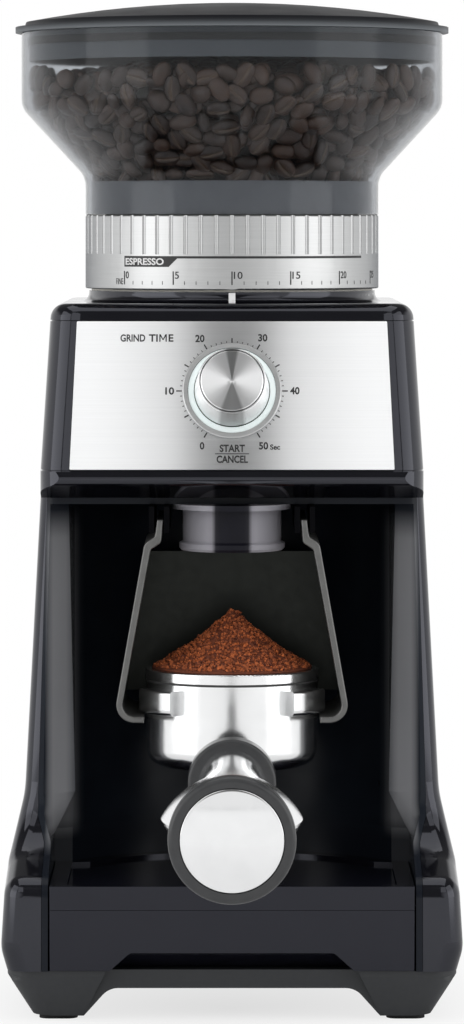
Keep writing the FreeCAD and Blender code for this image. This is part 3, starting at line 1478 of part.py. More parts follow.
def make_drive():
    idler_x, idler_y = idler_place()
    fit = d.shaft_fit.value
    out_low, out_high = d.output_z.value, d.output_z.value + d.output_face.value
    idle_low, idle_high = d.idler_z.value, d.idler_z.value + d.idler_face.value
    out_teeth, small = int(d.output_teeth.value), int(d.idler_pinion_teeth.value)
    big, motor = int(d.idler_teeth.value), int(d.motor_teeth.value)
    to_output = math.degrees(math.atan2(-idler_y, -idler_x))
    small_turn = meshing_turn(small, out_teeth, 0.0, to_output)
    to_idler = math.degrees(math.atan2(idler_y - d.motor_axis_back.value, idler_x))
    motor_turn = meshing_turn(motor, big, 0.0, to_idler)
    zero = size_of(0.0)
    shaft = d.shaft_radius.value
    gear_part("output_gear", zero, zero, [
        ("gear", out_teeth, out_low, out_high, shaft + fit, 0.0),
        ("sleeve", 10.0, out_low - 1.6, out_low, shaft + fit, 0.0),
    ])
    pin = d.idler_pin.value
    gear_part("idler_gear", size_of(idler_x), size_of(idler_y), [
        ("gear", small, out_low, out_high, pin + fit, small_turn),
        ("sleeve", 5.4, out_high, idle_low, pin + fit, 0.0),
        ("gear", big, idle_low, idle_high, pin + fit, 0.0),
    ])
    motor_top = d.ceiling_z + d.liner_wall + d.chassis_thick
    floor_top = motor_top + d.gearbox_floor
    gear_part("motor_pinion", zero, d.motor_axis_back, [
        ("gear", motor, idle_low, idle_high, d.motor_shaft.value, motor_turn),
        ("sleeve", d.motor_shaft.value, motor_top.value - 8.0, idle_high + 1.0, 0.0, 0.0),
    ])

    case = new_body("gearbox_housing")
    plan = gearbox_plan(size_of(0.0))
    pad(case, "XY_Plane", [plan], d.gearbox_lid_z - motor_top, motor_top)
    pocket(case, "XY_Plane", [gearbox_plan(d.gearbox_wall)], d.gearbox_lid_z - floor_top, d.gearbox_lid_z)
    pad(case, "XY_Plane", [("circle", 0.0, 0.0, d.bearing_outer + 2.5)], d.bearing_tall, floor_top)
    pad(case, "XY_Plane", [("circle", idler_x, idler_y, d.idler_pin + 2.0)], d.bearing_tall, floor_top)
    seat_top = floor_top + d.bearing_tall
    pin_hole = ("circle", idler_x, idler_y, d.idler_pin + 0.05)
    pocket(case, "XY_Plane", [("circle", 0.0, 0.0, d.bearing_outer + 0.05)], d.bearing_tall, seat_top)
    pocket(case, "XY_Plane", [pin_hole], d.bearing_tall, seat_top)
    pocket(case, "XY_Plane", [("circle", 0.0, d.motor_axis_back, d.motor_shaft + 1.0)], 20.0, floor_top + 5.0)
    keep("gearbox_housing", case)

    lid = new_body("gearbox_cover")
    pad(lid, "XY_Plane", [gearbox_plan(size_of(0.0))], d.gearbox_lid_thick, d.gearbox_lid_z)
    pocket(lid, "XY_Plane", [("circle", 0.0, 0.0, d.bush_outer + 0.05)], d.gearbox_lid_thick + 2.0,
           d.gearbox_lid_z + d.gearbox_lid_thick + 1.0)
    pocket(lid, "XY_Plane", [pin_hole], d.gearbox_lid_thick - 1.0, d.gearbox_lid_z, reverse=True)
    keep("gearbox_cover", lid)

    pin_body = new_body("idler_pin")
    pad(pin_body, "XY_Plane", [("circle", idler_x, idler_y, d.idler_pin)],
        d.gearbox_lid_z + d.gearbox_lid_thick - 1.2 - floor_top, floor_top)
    keep("idler_pin", pin_body)

    bearings = new_body("shaft_bearings")
    bore = ("circle", 0.0, 0.0, d.shaft_radius + d.shaft_fit)
    rings = ((floor_top, d.bearing_tall, d.bearing_outer),
             (d.gearbox_lid_z, d.gearbox_lid_thick, d.bush_outer))
    for low, tall, outer in rings:
        pad(bearings, "XY_Plane", [("circle", 0.0, 0.0, outer), bore], tall, low)
    keep("shaft_bearings", bearings)

    motor_body = new_body("motor", d.motor_axis_back)
    shaft_hole, hole_end = d.motor_shaft + d.shaft_fit, motor_top - 8.5
    turn(motor_body, [
        (0.0, d.motor_bottom - 6.0), (8.0, d.motor_bottom - 6.0), (8.0, d.motor_bottom),
        (d.motor_radius, d.motor_bottom, d.motor_round), (d.motor_radius, motor_top),
        (shaft_hole, motor_top), (shaft_hole, hole_end), (0.0, hole_end),
    ])
    keep("motor", motor_body)

    board = new_body("power_board")
    near = d.alcove_back + d.liner_wall + 8.0
    half, far = d.power_board_wide / 2.0, near + d.power_board_deep
    pad(board, "XY_Plane", [[(-half, near), (half, near), (half, far), (-half, far)]],
        d.board_thick, d.power_board_z)
    top = d.power_board_z + d.board_thick
    blocks = ((-34.0, 20.0, 11.0, 24.0), (-2.0, 18.0, 9.0, 16.0), (30.0, 22.0, 12.0, 20.0))
    for middle, deep, reach, tall in blocks:
        left, right, front, back = middle - reach, middle + reach, near + 8.0, near + 8.0 + deep
        pad(board, "XY_Plane", [[(left, front), (right, front), (right, back), (left, back)]], tall, top)
    keep("power_board", board)


def gearbox_plan(inset):
    half, front, back = d.gearbox_side - inset, -(d.gearbox_front - inset), d.gearbox_back - inset
    corner = d.gearbox_round - inset
    return [(half, front, corner), (half, back, corner), (-half, back, corner), (-half, front, corner)]


# Chute, outlet and cradle

def make_outlet():
    spout = new_body("grind_outlet", -d.outlet_front)
    lip_top = d.outlet_bottom + d.outlet_lip_tall
    flange_low = d.ceiling_z - d.outlet_flange_thick
    turn(spout, [
        (d.outlet_bore, d.outlet_bottom), (d.outlet_lip - 1.0, d.outlet_bottom),
        (d.outlet_lip, d.outlet_bottom + 1.0), (d.outlet_lip, lip_top - 0.8),
        (d.outlet_outer, lip_top), (d.outlet_outer, flange_low),
        (d.outlet_flange, flange_low), (d.outlet_flange, d.ceiling_z), (d.outlet_bore, d.ceiling_z),
    ])
    keep("grind_outlet", spout)

    chute = new_body("grind_chute")
    landing = d.ceiling_z + d.liner_wall
    start = d.carrier_outer + d.running_gap + d.chamber_wall - 1.2
    circles = [("circle", 0.0, d.port_z, radius) for radius in (d.chute_outer, d.chute_bore)]
    ring = draw(chute, "XZ_Plane", circles, start)
    path = new_sketch(chute, "YZ_Plane")
    bend_y, bend_z = -(d.outlet_front - d.chute_bend), d.port_z - d.chute_bend
    points = [(-start, d.port_z), (bend_y, d.port_z), (-d.outlet_front, bend_z), (-d.outlet_front, landing)]
    path.addGeometry(Part.LineSegment(flat(points[0]), flat(points[1])), False)
    lean = math.sqrt(0.5)
    middle = V(bend_y.value - d.chute_bend.value * lean, bend_z.value + d.chute_bend.value * lean, 0)
    path.addGeometry(Part.Arc(flat(points[1]), middle, flat(points[2])), False)
    path.addGeometry(Part.LineSegment(flat(points[2]), flat(points[3])), False)
    bound = {}
    held = pinned(0, 1, points[0], "a", bound) + pinned(2, 2, points[3], "b", bound)
    held += pinned(1, 3, (bend_y, bend_z), "c", bound)
    held += [Sketcher.Constraint("Tangent", 0, 2, 1, 1), Sketcher.Constraint("Tangent", 1, 2, 2, 1)]
    path.addConstraint(held)
    for name, size in bound.items():
        bind(path, f"Constraints.{name}", size)
    pipe = chute.newObject("PartDesign::AdditivePipe", "grind_chute_pipe")
    pipe.Profile = ring
    pipe.Spine = path
    keep("grind_chute", chute)


def make_cradle():
    cradle = new_body("portafilter_cradle")
    sheet = d.cradle_sheet
    depth = d.cradle_front - d.cradle_back
    hook_top = d.cradle_hook_z + sheet
    arm = [
        (d.cradle_tab_half - sheet, d.cradle_tab_top),
        (d.cradle_neck_half - sheet, d.cradle_neck_z - sheet, 2.0),
        (d.cradle_shoulder_half - sheet, d.cradle_shoulder_z - sheet, 2.0),
        (d.cradle_hip_half - sheet, hook_top, d.cradle_round - sheet), (d.cradle_hook_half, hook_top),
        (d.cradle_hook_half, d.cradle_hook_z), (d.cradle_hip_half + 0.4, d.cradle_hook_z, d.cradle_round),
        (d.cradle_shoulder_half, d.cradle_shoulder_z, 4.0), (d.cradle_neck_half, d.cradle_neck_z, 1.5),
        (d.cradle_tab_half, d.cradle_tab_top),
    ]
    for side in (1.0, -1.0):
        outline = [(side * size_of(p[0]),) + tuple(p[1:]) for p in arm]
        pad(cradle, "XZ_Plane", [outline], depth, d.cradle_back)
    plate_top = d.outlet_bottom - d.plate_top_gap
    top_half = d.cradle_shoulder_half - sheet / 2.0 + 0.9
    low_half = d.cradle_hip_half - sheet / 2.0
    low = d.cradle_hook_z + d.cradle_round
    back_plate = [(top_half, plate_top), (-top_half, plate_top), (-low_half, low), (low_half, low)]
    pad(cradle, "XZ_Plane", [back_plate], sheet, d.cradle_back)
    edge_y = -d.cradle_front.value
    round_edges(cradle, d.cradle_edge,
                lambda e: abs(e.BoundBox.YMin - edge_y) < 0.01 and e.BoundBox.YLength < 0.01)
    keep("portafilter_cradle", cradle)

    rails = new_body("cradle_rails")
    for side in (1.0, -1.0):
        inner = d.cradle_tab_half - sheet - d.running_gap
        outer = d.cradle_tab_half + d.running_gap
        low = d.cradle_tab_top - d.rail_tall
        spans = ((inner - 2.0, inner), (outer + 0.7, outer + 2.7))
        for near, far in spans:
            first, last = (near, far) if side > 0 else (-far, -near)
            pad(rails, "XZ_Plane", [[(first, low), (last, low), (last, d.ceiling_z), (first, d.ceiling_z)]],
                depth, d.cradle_back)
    keep("cradle_rails", rails)


# Portafilter docked in the cradle, with its handle on a slightly dipping axis

def handle_body(label):
    """A body at the root of the handle, its axis along the body's own -Y."""
    return new_body(label, -(d.outlet_front + d.cup_radius), d.handle_z, 0.0, d.handle_tilt)


def lens(half, tall):
    return [(half, 0.0), ("via", 0.0, tall), (-half, 0.0), ("via", 0.0, -tall)]


def ear_ring():
    """A full ring with the section of the locking ears."""
    ring = new_body("ear_ring", -d.outlet_front)
    root_radius, top = d.cup_radius - 1.0, d.ear_bottom + d.ear_tall
    turn(ring, [(root_radius, d.ear_bottom), (d.ear_reach, d.ear_bottom, d.ear_round),
                (d.ear_reach, top, d.ear_round / 2.0), (root_radius, top)])
    return ring


def ear_sectors():
    """The two sectors of that ring that stay, one at each side of the handle."""
    sectors = new_body("ear_sectors", -d.outlet_front)
    inside, outside = d.cup_radius / 2.0, d.ear_reach * 1.5
    corners = [(inside, d.ear_start), (outside, d.ear_start), (outside, d.ear_stop), (inside, d.ear_stop)]
    right = [(reach * sine(angle), -(reach * cosine(angle))) for reach, angle in corners]
    left = [(-x, y) for x, y in right]
    pad(sectors, "XY_Plane", [right, left], d.ear_tall * 2.0, d.ear_bottom - d.ear_tall / 2.0)
    return sectors


def make_portafilter():
    cup = new_body("portafilter_cup", -d.outlet_front)
    inside = d.cup_radius - d.cup_wall
    floor_top = d.cup_bottom + d.cup_floor
    turn(cup, [
        (d.drain_radius, d.cup_bottom), (d.cup_radius, d.cup_bottom, d.cup_round), (d.cup_radius, d.cup_top),
        (inside, d.cup_top), (inside, floor_top, 3.0), (d.drain_radius, floor_top),
    ])
    ears = combine("Common", "portafilter_ears", ear_ring(), ear_sectors())
    boss = handle_body("portafilter_boss")
    pad(boss, "XZ_Plane", [("circle", 0.0, 0.0, d.boss_radius)], d.boss_end + 2.5, -2.5)
    cup_and_boss = combine("Fuse", "portafilter_cup_and_boss", cup, boss)
    keep("portafilter_body", combine("Fuse", "portafilter_body", cup_and_boss, ears))

    basket = new_body("filter_basket", -d.outlet_front)
    sheet = d.basket_wall
    rim_top = d.cup_top + d.basket_rim_tall
    turn(basket, [
        (0.0, d.basket_bottom), (d.basket_radius, d.basket_bottom, 3.0), (d.basket_radius, d.cup_top),
        (d.basket_rim, d.cup_top), (d.basket_rim, rim_top, 0.6), (d.basket_radius - sheet, rim_top),
        (d.basket_radius - sheet, d.basket_bottom + sheet, 3.0 - sheet), (0.0, d.basket_bottom + sheet),
    ])
    keep("filter_basket", basket)

    spring = new_body("basket_spring", -d.outlet_front)
    middle = (d.basket_radius + inside) / 2.0
    ring = draw(spring, "XZ_Plane", [("circle", middle, d.spring_z, d.spring_wire / 2.0)])
    wire = feature(spring, "Revolution", ring)
    wire.ReferenceAxis = (ring, ["V_Axis"])
    wire.Angle = 340.0
    keep("basket_spring", spring)

    spout = new_body("portafilter_spout", -d.outlet_front)
    neck, wide, low = d.drain_radius + 4.0, d.spout_wide, d.spout_bottom
    top = d.cup_bottom
    pad(spout, "XZ_Plane", [[
        (neck, top), (neck, top - 8.0, 4.0), (wide, low + 9.0, 4.0), (wide, low), (wide - 7.0, low),
        (wide - 8.0, low + 5.0, 4.0), (0.0, low + 9.0, 5.0), (-(wide - 8.0), low + 5.0, 4.0),
        (-(wide - 7.0), low), (-wide, low), (-wide, low + 9.0, 4.0), (-neck, top - 8.0, 4.0), (-neck, top),
    ]], d.spout_deep * 2.0, middle=True)
    keep("portafilter_spout", spout)

    collar = handle_body("handle_collar")
    turn(collar, [(0.0, -d.boss_end), (0.0, -d.ring_end), (d.ring_radius, -d.ring_end, 1.2),
                  (d.ring_radius, -d.boss_end, 1.2)], "XY_Plane")
    keep("handle_collar", collar)

    wing_end = d.grip_end - d.grip_ring_length
    rows = ((d.ring_end, d.neck_radius, d.neck_radius),
            (d.ring_end + 34.0, d.neck_radius + 2.4, d.neck_radius - d.neck_waist),
            (d.wing_at, d.wing_half, d.wing_tall), (wing_end, d.butt_neck - 0.6, d.wing_tall))
    halves = []
    for part, low, tall in (("upper", -1.4, 40.0), ("lower", -41.5, 40.0)):
        spindle = handle_body(f"handle_{part}_spindle")
        sections = [draw(spindle, "XZ_Plane", [lens(half, high)], at) for at, half, high in rows]
        loft = spindle.newObject("PartDesign::AdditiveLoft", f"handle_{part}_loft")
        loft.Profile = sections[0]
        loft.Sections = sections[1:]
        side = handle_body(f"handle_{part}_side")
        across = [(60.0, low), (60.0, low + tall), (-60.0, low + tall), (-60.0, low)]
        pad(side, "XZ_Plane", [across], WELL_CLEAR, -20.0)
        halves.append(combine("Common", f"handle_{part}", spindle, side))
    keep("handle_cover", halves[0])

    butt = handle_body("handle_butt")
    seat = d.cap_radius + d.seat_gap
    deep = d.grip_end - d.cap_crown
    turn(butt, [
        (0.0, -wing_end), (0.0, -deep), (seat, -deep), (seat, -d.grip_end),
        (d.grip_butt, -d.grip_end, 2.0), (d.grip_butt, -(d.grip_end - d.butt_band), 2.0),
        (d.butt_neck, -wing_end),
    ], "XY_Plane")
    keep("handle_grip", combine("Fuse", "handle_grip", halves[1], butt))

    cap = handle_body("handle_cap")
    edge, apex = -(d.grip_end - 0.3), -(d.grip_end + 1.0)
    turn(cap, [(0.0, -deep), (d.cap_radius, -deep), (d.cap_radius, edge),
               crown_via(d.cap_radius, edge, apex), (0.0, apex)], "XY_Plane")
    keep("handle_cap", cap)


def finish():
    """Recomputes, refuses any failed object or bad shape, then writes one file per sub-part."""
    doc.recompute()
    failed = [o.Label for o in doc.Objects if "Invalid" in o.State or "Error" in o.State]
    if failed:
        raise RuntimeError("objects that failed: " + ", ".join(failed))
    for label, made in nodes.items():
        if made.Shape.isNull() or not made.Shape.isValid() or made.Shape.Volume < 1.0:
            raise RuntimeError("bad shape: " + label)
    os.makedirs("parts", exist_ok=True)
    for label, made in nodes.items():
        made.Shape.exportStep(f"parts/{label}.step")
        box = made.Shape.BoundBox
        print(f"{label}: {len(made.Shape.Solids)} solid(s), {made.Shape.Volume / 1000.0:.2f} cm3,"
              f" x {box.XMin:.1f}..{box.XMax:.1f}, y {box.YMin:.1f}..{box.YMax:.1f},"
              f" z {box.ZMin:.1f}..{box.ZMax:.1f}")


make_base()
make_body()
make_tray()
make_head()
make_dial()
make_collar()
make_hopper()
make_burrs()
make_drive()
make_outlet()
make_cradle()
make_portafilter()
finish()
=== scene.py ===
import json
import math
import random

import bmesh
import bpy
from mathutils import Matrix, Vector, noise


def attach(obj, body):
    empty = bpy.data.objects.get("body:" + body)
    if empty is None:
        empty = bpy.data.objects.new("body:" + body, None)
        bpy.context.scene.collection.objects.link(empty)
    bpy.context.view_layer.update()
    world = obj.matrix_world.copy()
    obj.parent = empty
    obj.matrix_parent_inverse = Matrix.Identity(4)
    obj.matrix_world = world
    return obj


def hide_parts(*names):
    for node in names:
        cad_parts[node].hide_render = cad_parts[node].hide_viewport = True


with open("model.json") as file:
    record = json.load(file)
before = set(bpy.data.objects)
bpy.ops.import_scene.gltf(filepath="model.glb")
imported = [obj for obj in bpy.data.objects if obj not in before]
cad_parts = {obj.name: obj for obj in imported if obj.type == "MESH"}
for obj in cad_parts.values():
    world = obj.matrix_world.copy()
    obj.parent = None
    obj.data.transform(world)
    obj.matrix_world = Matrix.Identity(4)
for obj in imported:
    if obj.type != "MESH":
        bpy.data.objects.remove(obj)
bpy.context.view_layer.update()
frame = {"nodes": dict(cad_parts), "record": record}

nodes = frame["nodes"]
mm = 0.001
axisY = 72.0  # the burr axis stands this far behind the frame's origin, mm
fullTurn = 2.0 * math.pi
noStretch = (1.0, 1.0, 1.0)
noiseSpan = (0.3, 0.7)  # where most of the noise lies
cloudDetail, fineDetail = 3.0, 2.0
panelMiddle = (0.0, -6.9, 236.8)  # the dial's middle on the tilted panel, mm
panelUp = (0.0, 0.309017, 0.951057)
panelOut = (0.0, -0.951057, 0.309017)
print("frame loaded,", len(nodes), "CAD nodes")


# finishes: each is one noise for colour and gloss, a finer one for the surface, and plain socket values
def wireNoise(tree, scale, stretch, detail=cloudDetail):
    place = tree.nodes.new("ShaderNodeTexCoord")
    squeeze = tree.nodes.new("ShaderNodeMapping")
    squeeze.inputs["Scale"].default_value = stretch
    grain = tree.nodes.new("ShaderNodeTexNoise")
    grain.inputs["Scale"].default_value = scale
    grain.inputs["Detail"].default_value = detail
    tree.links.new(place.outputs["Object"], squeeze.inputs["Vector"])
    tree.links.new(squeeze.outputs["Vector"], grain.inputs["Vector"])
    return grain.outputs["Fac"]


def wireStops(tree, source, stops):
    # a colour ramp of any number of (place, colour)
    ramp = tree.nodes.new("ShaderNodeValToRGB")
    for extra in stops[2:]:
        ramp.color_ramp.elements.new(1.0)
    for stop, (place, colour) in zip(ramp.color_ramp.elements, stops):
        stop.position, stop.color = place, (*colour, 1.0)
    tree.links.new(source, ramp.inputs["Fac"])
    return ramp.outputs["Color"]


def wireRamp(tree, source, dark, light, span=noiseSpan):
    return wireStops(tree, source, ((span[0], dark), (span[1], light)))


def wireRange(tree, source, low, high):
    spread = tree.nodes.new("ShaderNodeMapRange")
    spread.inputs["From Min"].default_value, spread.inputs["From Max"].default_value = noiseSpan
    spread.inputs["To Min"].default_value, spread.inputs["To Max"].default_value = low, high
    tree.links.new(source, spread.inputs["Value"])
    return spread.outputs["Result"]


def wireMix(tree, first, second, blend="MIX"):
    mix = tree.nodes.new("ShaderNodeMix")
    mix.data_type, mix.blend_type = "RGBA", blend
    for source, socket in ((first, mix.inputs["A"]), (second, mix.inputs["B"])):
        if isinstance(source, tuple):
            socket.default_value = (*source, 1.0)
        else:
            tree.links.new(source, socket)
    mix.inputs["Factor"].default_value = 1.0
    return mix


def wireMath(tree, kind, first, second):
    step = tree.nodes.new("ShaderNodeMath")
    step.operation = kind
    tree.links.new(first, step.inputs[0])
    step.inputs[1].default_value = second
    return step.outputs["Value"]


def wireSlope(tree, height):
    # a surface that leans as this height, in metres, does
    slope = tree.nodes.new("ShaderNodeBump")
    slope.inputs["Strength"].default_value = 1.0
    slope.inputs["Distance"].default_value = 1.0
    tree.links.new(height, slope.inputs["Height"])
    return slope.outputs["Normal"]


def wireTone(tree, label):
    # a value that a piece's own mesh carries on its points
    carried = tree.nodes.new("ShaderNodeAttribute")
    carried.attribute_name = label
    return carried.outputs["Fac"]


def axesOf(tree):
    place = tree.nodes.new("ShaderNodeTexCoord")
    split = tree.nodes.new("ShaderNodeSeparateXYZ")
    tree.links.new(place.outputs["Object"], split.inputs["Vector"])
    return split.outputs


def paintOf(tree):
    return tree.nodes["Principled BSDF"].inputs["Base Color"].links[0].from_socket


def repaint(tree, colour):
    tree.links.new(colour, tree.nodes["Principled BSDF"].inputs["Base Color"])


def makeFinish(name, look):
    material = bpy.data.materials.new(name)
    material.use_nodes = True
    tree = material.node_tree
    shader = tree.nodes["Principled BSDF"]
    for socket, value in look.get("sockets", {}).items():
        shader.inputs[socket].default_value = value
    stretch = look.get("stretch", noStretch)
    cloud = wireNoise(tree, look["scale"], stretch)
    repaint(tree, wireRamp(tree, cloud, look["dark"], look["light"]))
    tree.links.new(wireRange(tree, cloud, *look["rough"]), shader.inputs["Roughness"])
    if look.get("bump"):
        bump = tree.nodes.new("ShaderNodeBump")
        bump.inputs["Strength"].default_value = look["bump"]
        bump.inputs["Distance"].default_value = look.get("bumpDeep", 0.05) * mm
        fine = wireNoise(tree, look.get("bumpScale", look["scale"]), stretch, fineDetail)
        tree.links.new(fine, bump.inputs["Height"])
        tree.links.new(bump.outputs["Normal"], shader.inputs["Normal"])
    return material


looks = {
    "glossBlack": dict(dark=(0.0025, 0.0025, 0.0038), light=(0.0038, 0.0038, 0.0054), rough=(0.06, 0.1), scale=60.0,
                       sockets={"Specular IOR Level": 0.66, "Specular Tint": (0.86, 0.88, 1.0, 1.0)}),
    "linerBlack": dict(dark=(0.009, 0.0115, 0.017), light=(0.012, 0.0155, 0.022), rough=(0.2, 0.26), scale=60.0,
                       sockets={"Specular IOR Level": 0.16}),
    "innerBlack": dict(dark=(0.003, 0.0031, 0.0037), light=(0.005, 0.005, 0.006), rough=(0.4, 0.5), scale=80.0,
                       sockets={"Specular IOR Level": 0.1}),
    "railBlack": dict(dark=(0.0018, 0.0018, 0.0024), light=(0.003, 0.003, 0.0038), rough=(0.7, 0.8), scale=80.0,
                      sockets={"Specular IOR Level": 0.03}),
    "trayBlack": dict(dark=(0.004, 0.004, 0.0072), light=(0.0055, 0.0055, 0.009), rough=(0.09, 0.13), scale=60.0,
                      sockets={"Specular IOR Level": 0.46, "Specular Tint": (0.86, 0.88, 1.0, 1.0)}),
    "outletBlack": dict(dark=(0.006, 0.006, 0.01), light=(0.009, 0.009, 0.014), rough=(0.34, 0.42), scale=90.0,
                        sockets={"Specular IOR Level": 0.15}),
    "baseGrey": dict(dark=(0.02, 0.022, 0.025), light=(0.026, 0.028, 0.031), rough=(0.42, 0.52), scale=500.0,
                     bump=0.25, bumpScale=2200.0),
    "footRubber": dict(dark=(0.012, 0.012, 0.013), light=(0.02, 0.02, 0.021), rough=(0.7, 0.85), scale=300.0,
                       bump=0.3, bumpScale=1500.0),
    "brushedPanel": dict(dark=(0.85, 0.855, 0.86), light=(0.89, 0.895, 0.9), rough=(0.28, 0.32), scale=2600.0,
                         stretch=(0.006, 1.0, 1.0), bump=0.06, bumpDeep=0.01,
                         sockets={"Metallic": 1.0, "Anisotropic": 0.85}),
    "spunMetalPaintedWedges": dict(dark=(0.94, 0.945, 0.95), light=(0.96, 0.965, 0.97), rough=(0.28, 0.29), scale=30.0,
                      sockets={"Metallic": 1.0, "Anisotropic": 0.9}),
    # painted shade: the dark Specular Tint darkens the reflection towards the grazing sides of the collar and the dial
    # bezel
    "satinCollar": dict(dark=(0.53, 0.535, 0.535), light=(0.57, 0.575, 0.575), rough=(0.38, 0.42), scale=2400.0,
                        stretch=(0.02, 0.02, 1.0), bump=0.03, bumpDeep=0.01,
                        sockets={"Metallic": 1.0, "Specular Tint": (0.3, 0.31, 0.33, 1.0)}),
    "smokeClear": dict(dark=(0.94, 0.95, 0.96), light=(0.97, 0.98, 0.99), rough=(0.07, 0.09), scale=40.0,
                       sockets={"Transmission Weight": 1.0, "IOR": 1.25}),
    "lidBlack": dict(dark=(0.008, 0.0085, 0.011), light=(0.011, 0.0115, 0.014), rough=(0.4, 0.48), scale=50.0,
                     sockets={"Specular IOR Level": 0.1}),
    "insertGrey": dict(dark=(0.13, 0.137, 0.15), light=(0.15, 0.157, 0.17), rough=(0.35, 0.42), scale=200.0),
    "polishedSteel": dict(dark=(0.84, 0.845, 0.85), light=(0.88, 0.885, 0.89), rough=(0.06, 0.1), scale=120.0,
                          sockets={"Metallic": 1.0}),
    "basketSteel": dict(dark=(0.86, 0.865, 0.87), light=(0.9, 0.905, 0.91), rough=(0.16, 0.22), scale=120.0,
                        sockets={"Metallic": 1.0}),
    "coverSteel": dict(dark=(0.86, 0.865, 0.87), light=(0.9, 0.905, 0.91), rough=(0.18, 0.24), scale=120.0,
                       sockets={"Metallic": 1.0}),
    "burrSteel": dict(dark=(0.5, 0.5, 0.51), light=(0.6, 0.6, 0.61), rough=(0.25, 0.35), scale=700.0,
                      sockets={"Metallic": 1.0}),
    "gearNylon": dict(dark=(0.62, 0.6, 0.54), light=(0.7, 0.68, 0.62), rough=(0.4, 0.5), scale=300.0),
    "pressedSteel": dict(dark=(0.45, 0.46, 0.47), light=(0.55, 0.56, 0.57), rough=(0.35, 0.5), scale=150.0,
                         sockets={"Metallic": 1.0}),
    "motorSteel": dict(dark=(0.3, 0.31, 0.33), light=(0.4, 0.41, 0.43), rough=(0.35, 0.5), scale=150.0,
                       sockets={"Metallic": 1.0}),
    "circuitGreen": dict(dark=(0.01, 0.09, 0.03), light=(0.02, 0.13, 0.05), rough=(0.3, 0.4), scale=600.0),
    "haloWhite": dict(dark=(0.76, 0.84, 0.83), light=(0.82, 0.88, 0.88), rough=(0.3, 0.4), scale=100.0,
                      sockets={"Emission Color": (0.86, 1.0, 0.98, 1.0), "Emission Strength": 0.14}),
    "markWhite": dict(dark=(0.76, 0.76, 0.76), light=(0.84, 0.84, 0.84), rough=(0.4, 0.5), scale=400.0),
    "cradleGrey": dict(dark=(0.13, 0.13, 0.127), light=(0.16, 0.16, 0.156), rough=(0.3, 0.38), scale=250.0,
                       bump=0.15, bumpScale=1800.0, sockets={"Metallic": 0.7}),
    "gripBlack": dict(dark=(0.028, 0.029, 0.031), light=(0.036, 0.037, 0.039), rough=(0.28, 0.38), scale=200.0,
                      bump=0.1, bumpScale=1500.0),
    "sealRubber": dict(dark=(0.03, 0.03, 0.03), light=(0.045, 0.045, 0.045), rough=(0.6, 0.75), scale=200.0),
    "bronze": dict(dark=(0.42, 0.25, 0.1), light=(0.5, 0.31, 0.14), rough=(0.3, 0.4), scale=300.0,
                   sockets={"Metallic": 1.0}),
    "printBlack": dict(dark=(0.012, 0.012, 0.013), light=(0.018, 0.018, 0.019), rough=(0.4, 0.5), scale=500.0),
}
finishes = {name: makeFinish(name, look) for name, look in looks.items()}


def bowPanel(tree, bow):
    # the sheet is a little bowed across its width, and its grain runs level, so light spreads up and down it
    shader = tree.nodes["Principled BSDF"]
    crown = wireMath(tree, "MULTIPLY", wireMath(tree, "POWER", axesOf(tree)["X"], 2.0), -bow)
    grain = shader.inputs["Normal"].links[0].from_node
    tree.links.new(wireSlope(tree, crown), grain.inputs["Normal"])
    upSlope = tree.nodes.new("ShaderNodeCombineXYZ")
    for label, share in zip("XYZ", panelUp):
        upSlope.inputs[label].default_value = share
    tree.links.new(upSlope.outputs["Vector"], shader.inputs["Tangent"])


def spinFrom(tree, paintedWedges):
    # turned on a lathe: the grain runs round the middle, so light spreads outwards from it; dark wedges above and below
    # are painted into the colour as a painted reflection; paintedWedges are (degrees from the top, tone)
    where = tree.nodes.new("ShaderNodeNewGeometry")
    reach = tree.nodes.new("ShaderNodeVectorMath")
    reach.operation = "SUBTRACT"
    reach.inputs[1].default_value = Vector(panelMiddle) * mm
    tree.links.new(where.outputs["Position"], reach.inputs[0])
    tree.links.new(reach.outputs["Vector"], tree.nodes["Principled BSDF"].inputs["Tangent"])
    split = tree.nodes.new("ShaderNodeSeparateXYZ")
    tree.links.new(reach.outputs["Vector"], split.inputs["Vector"])
    rise = tree.nodes.new("ShaderNodeVectorMath")
    rise.operation = "DOT_PRODUCT"
    rise.inputs[1].default_value = panelUp
    tree.links.new(reach.outputs["Vector"], rise.inputs[0])
    bearing = tree.nodes.new("ShaderNodeMath")
    bearing.operation = "ARCTAN2"
    tree.links.new(split.outputs["X"], bearing.inputs[0])
    tree.links.new(rise.outputs["Value"], bearing.inputs[1])
    turn = wireMath(tree, "DIVIDE", wireMath(tree, "ABSOLUTE", bearing.outputs["Value"], 0.0), math.pi)
    # painted reflection: the colour is darkened in wedges above and below the middle
    paintedFan = wireStops(tree, turn, [(degrees / 180.0, (tone, tone, tone)) for degrees, tone in paintedWedges])
    repaint(tree, wireMix(tree, paintOf(tree), paintedFan, "MULTIPLY").outputs["Result"])


def smokeThrough(tree, tint, density):
    # the clear wall darkens with the length of plastic looked through
    haze = tree.nodes.new("ShaderNodeVolumeAbsorption")
    haze.inputs["Color"].default_value = (*tint, 1.0)
    haze.inputs["Density"].default_value = density
    tree.links.new(haze.outputs["Volume"], tree.nodes["Material Output"].inputs["Volume"])


def leanOver(tree, slope):
    # the sheet falls away a little towards the hand
    lean = wireSlope(tree, wireMath(tree, "MULTIPLY", axesOf(tree)["Y"], slope))
    tree.links.new(lean, tree.nodes["Principled BSDF"].inputs["Normal"])


def shadeAlong(tree, axis, stops, tone):
    # painted light and shade: the paint turns to another tone along one axis, the same on both sides of the middle;
    # stops are (mm, share)
    span = 400.0  # mm, longer than the machine is in any direction
    away = wireMath(tree, "ABSOLUTE", axesOf(tree)[axis], 0.0)
    part = wireMath(tree, "MULTIPLY", away, 1.0 / (span * mm))
    shade = wireMix(tree, paintOf(tree), tone)
    shares = wireStops(tree, part, [(at / span, (share, share, share)) for at, share in stops])
    tree.links.new(shares, shade.inputs["Factor"])
    repaint(tree, shade.outputs["Result"])


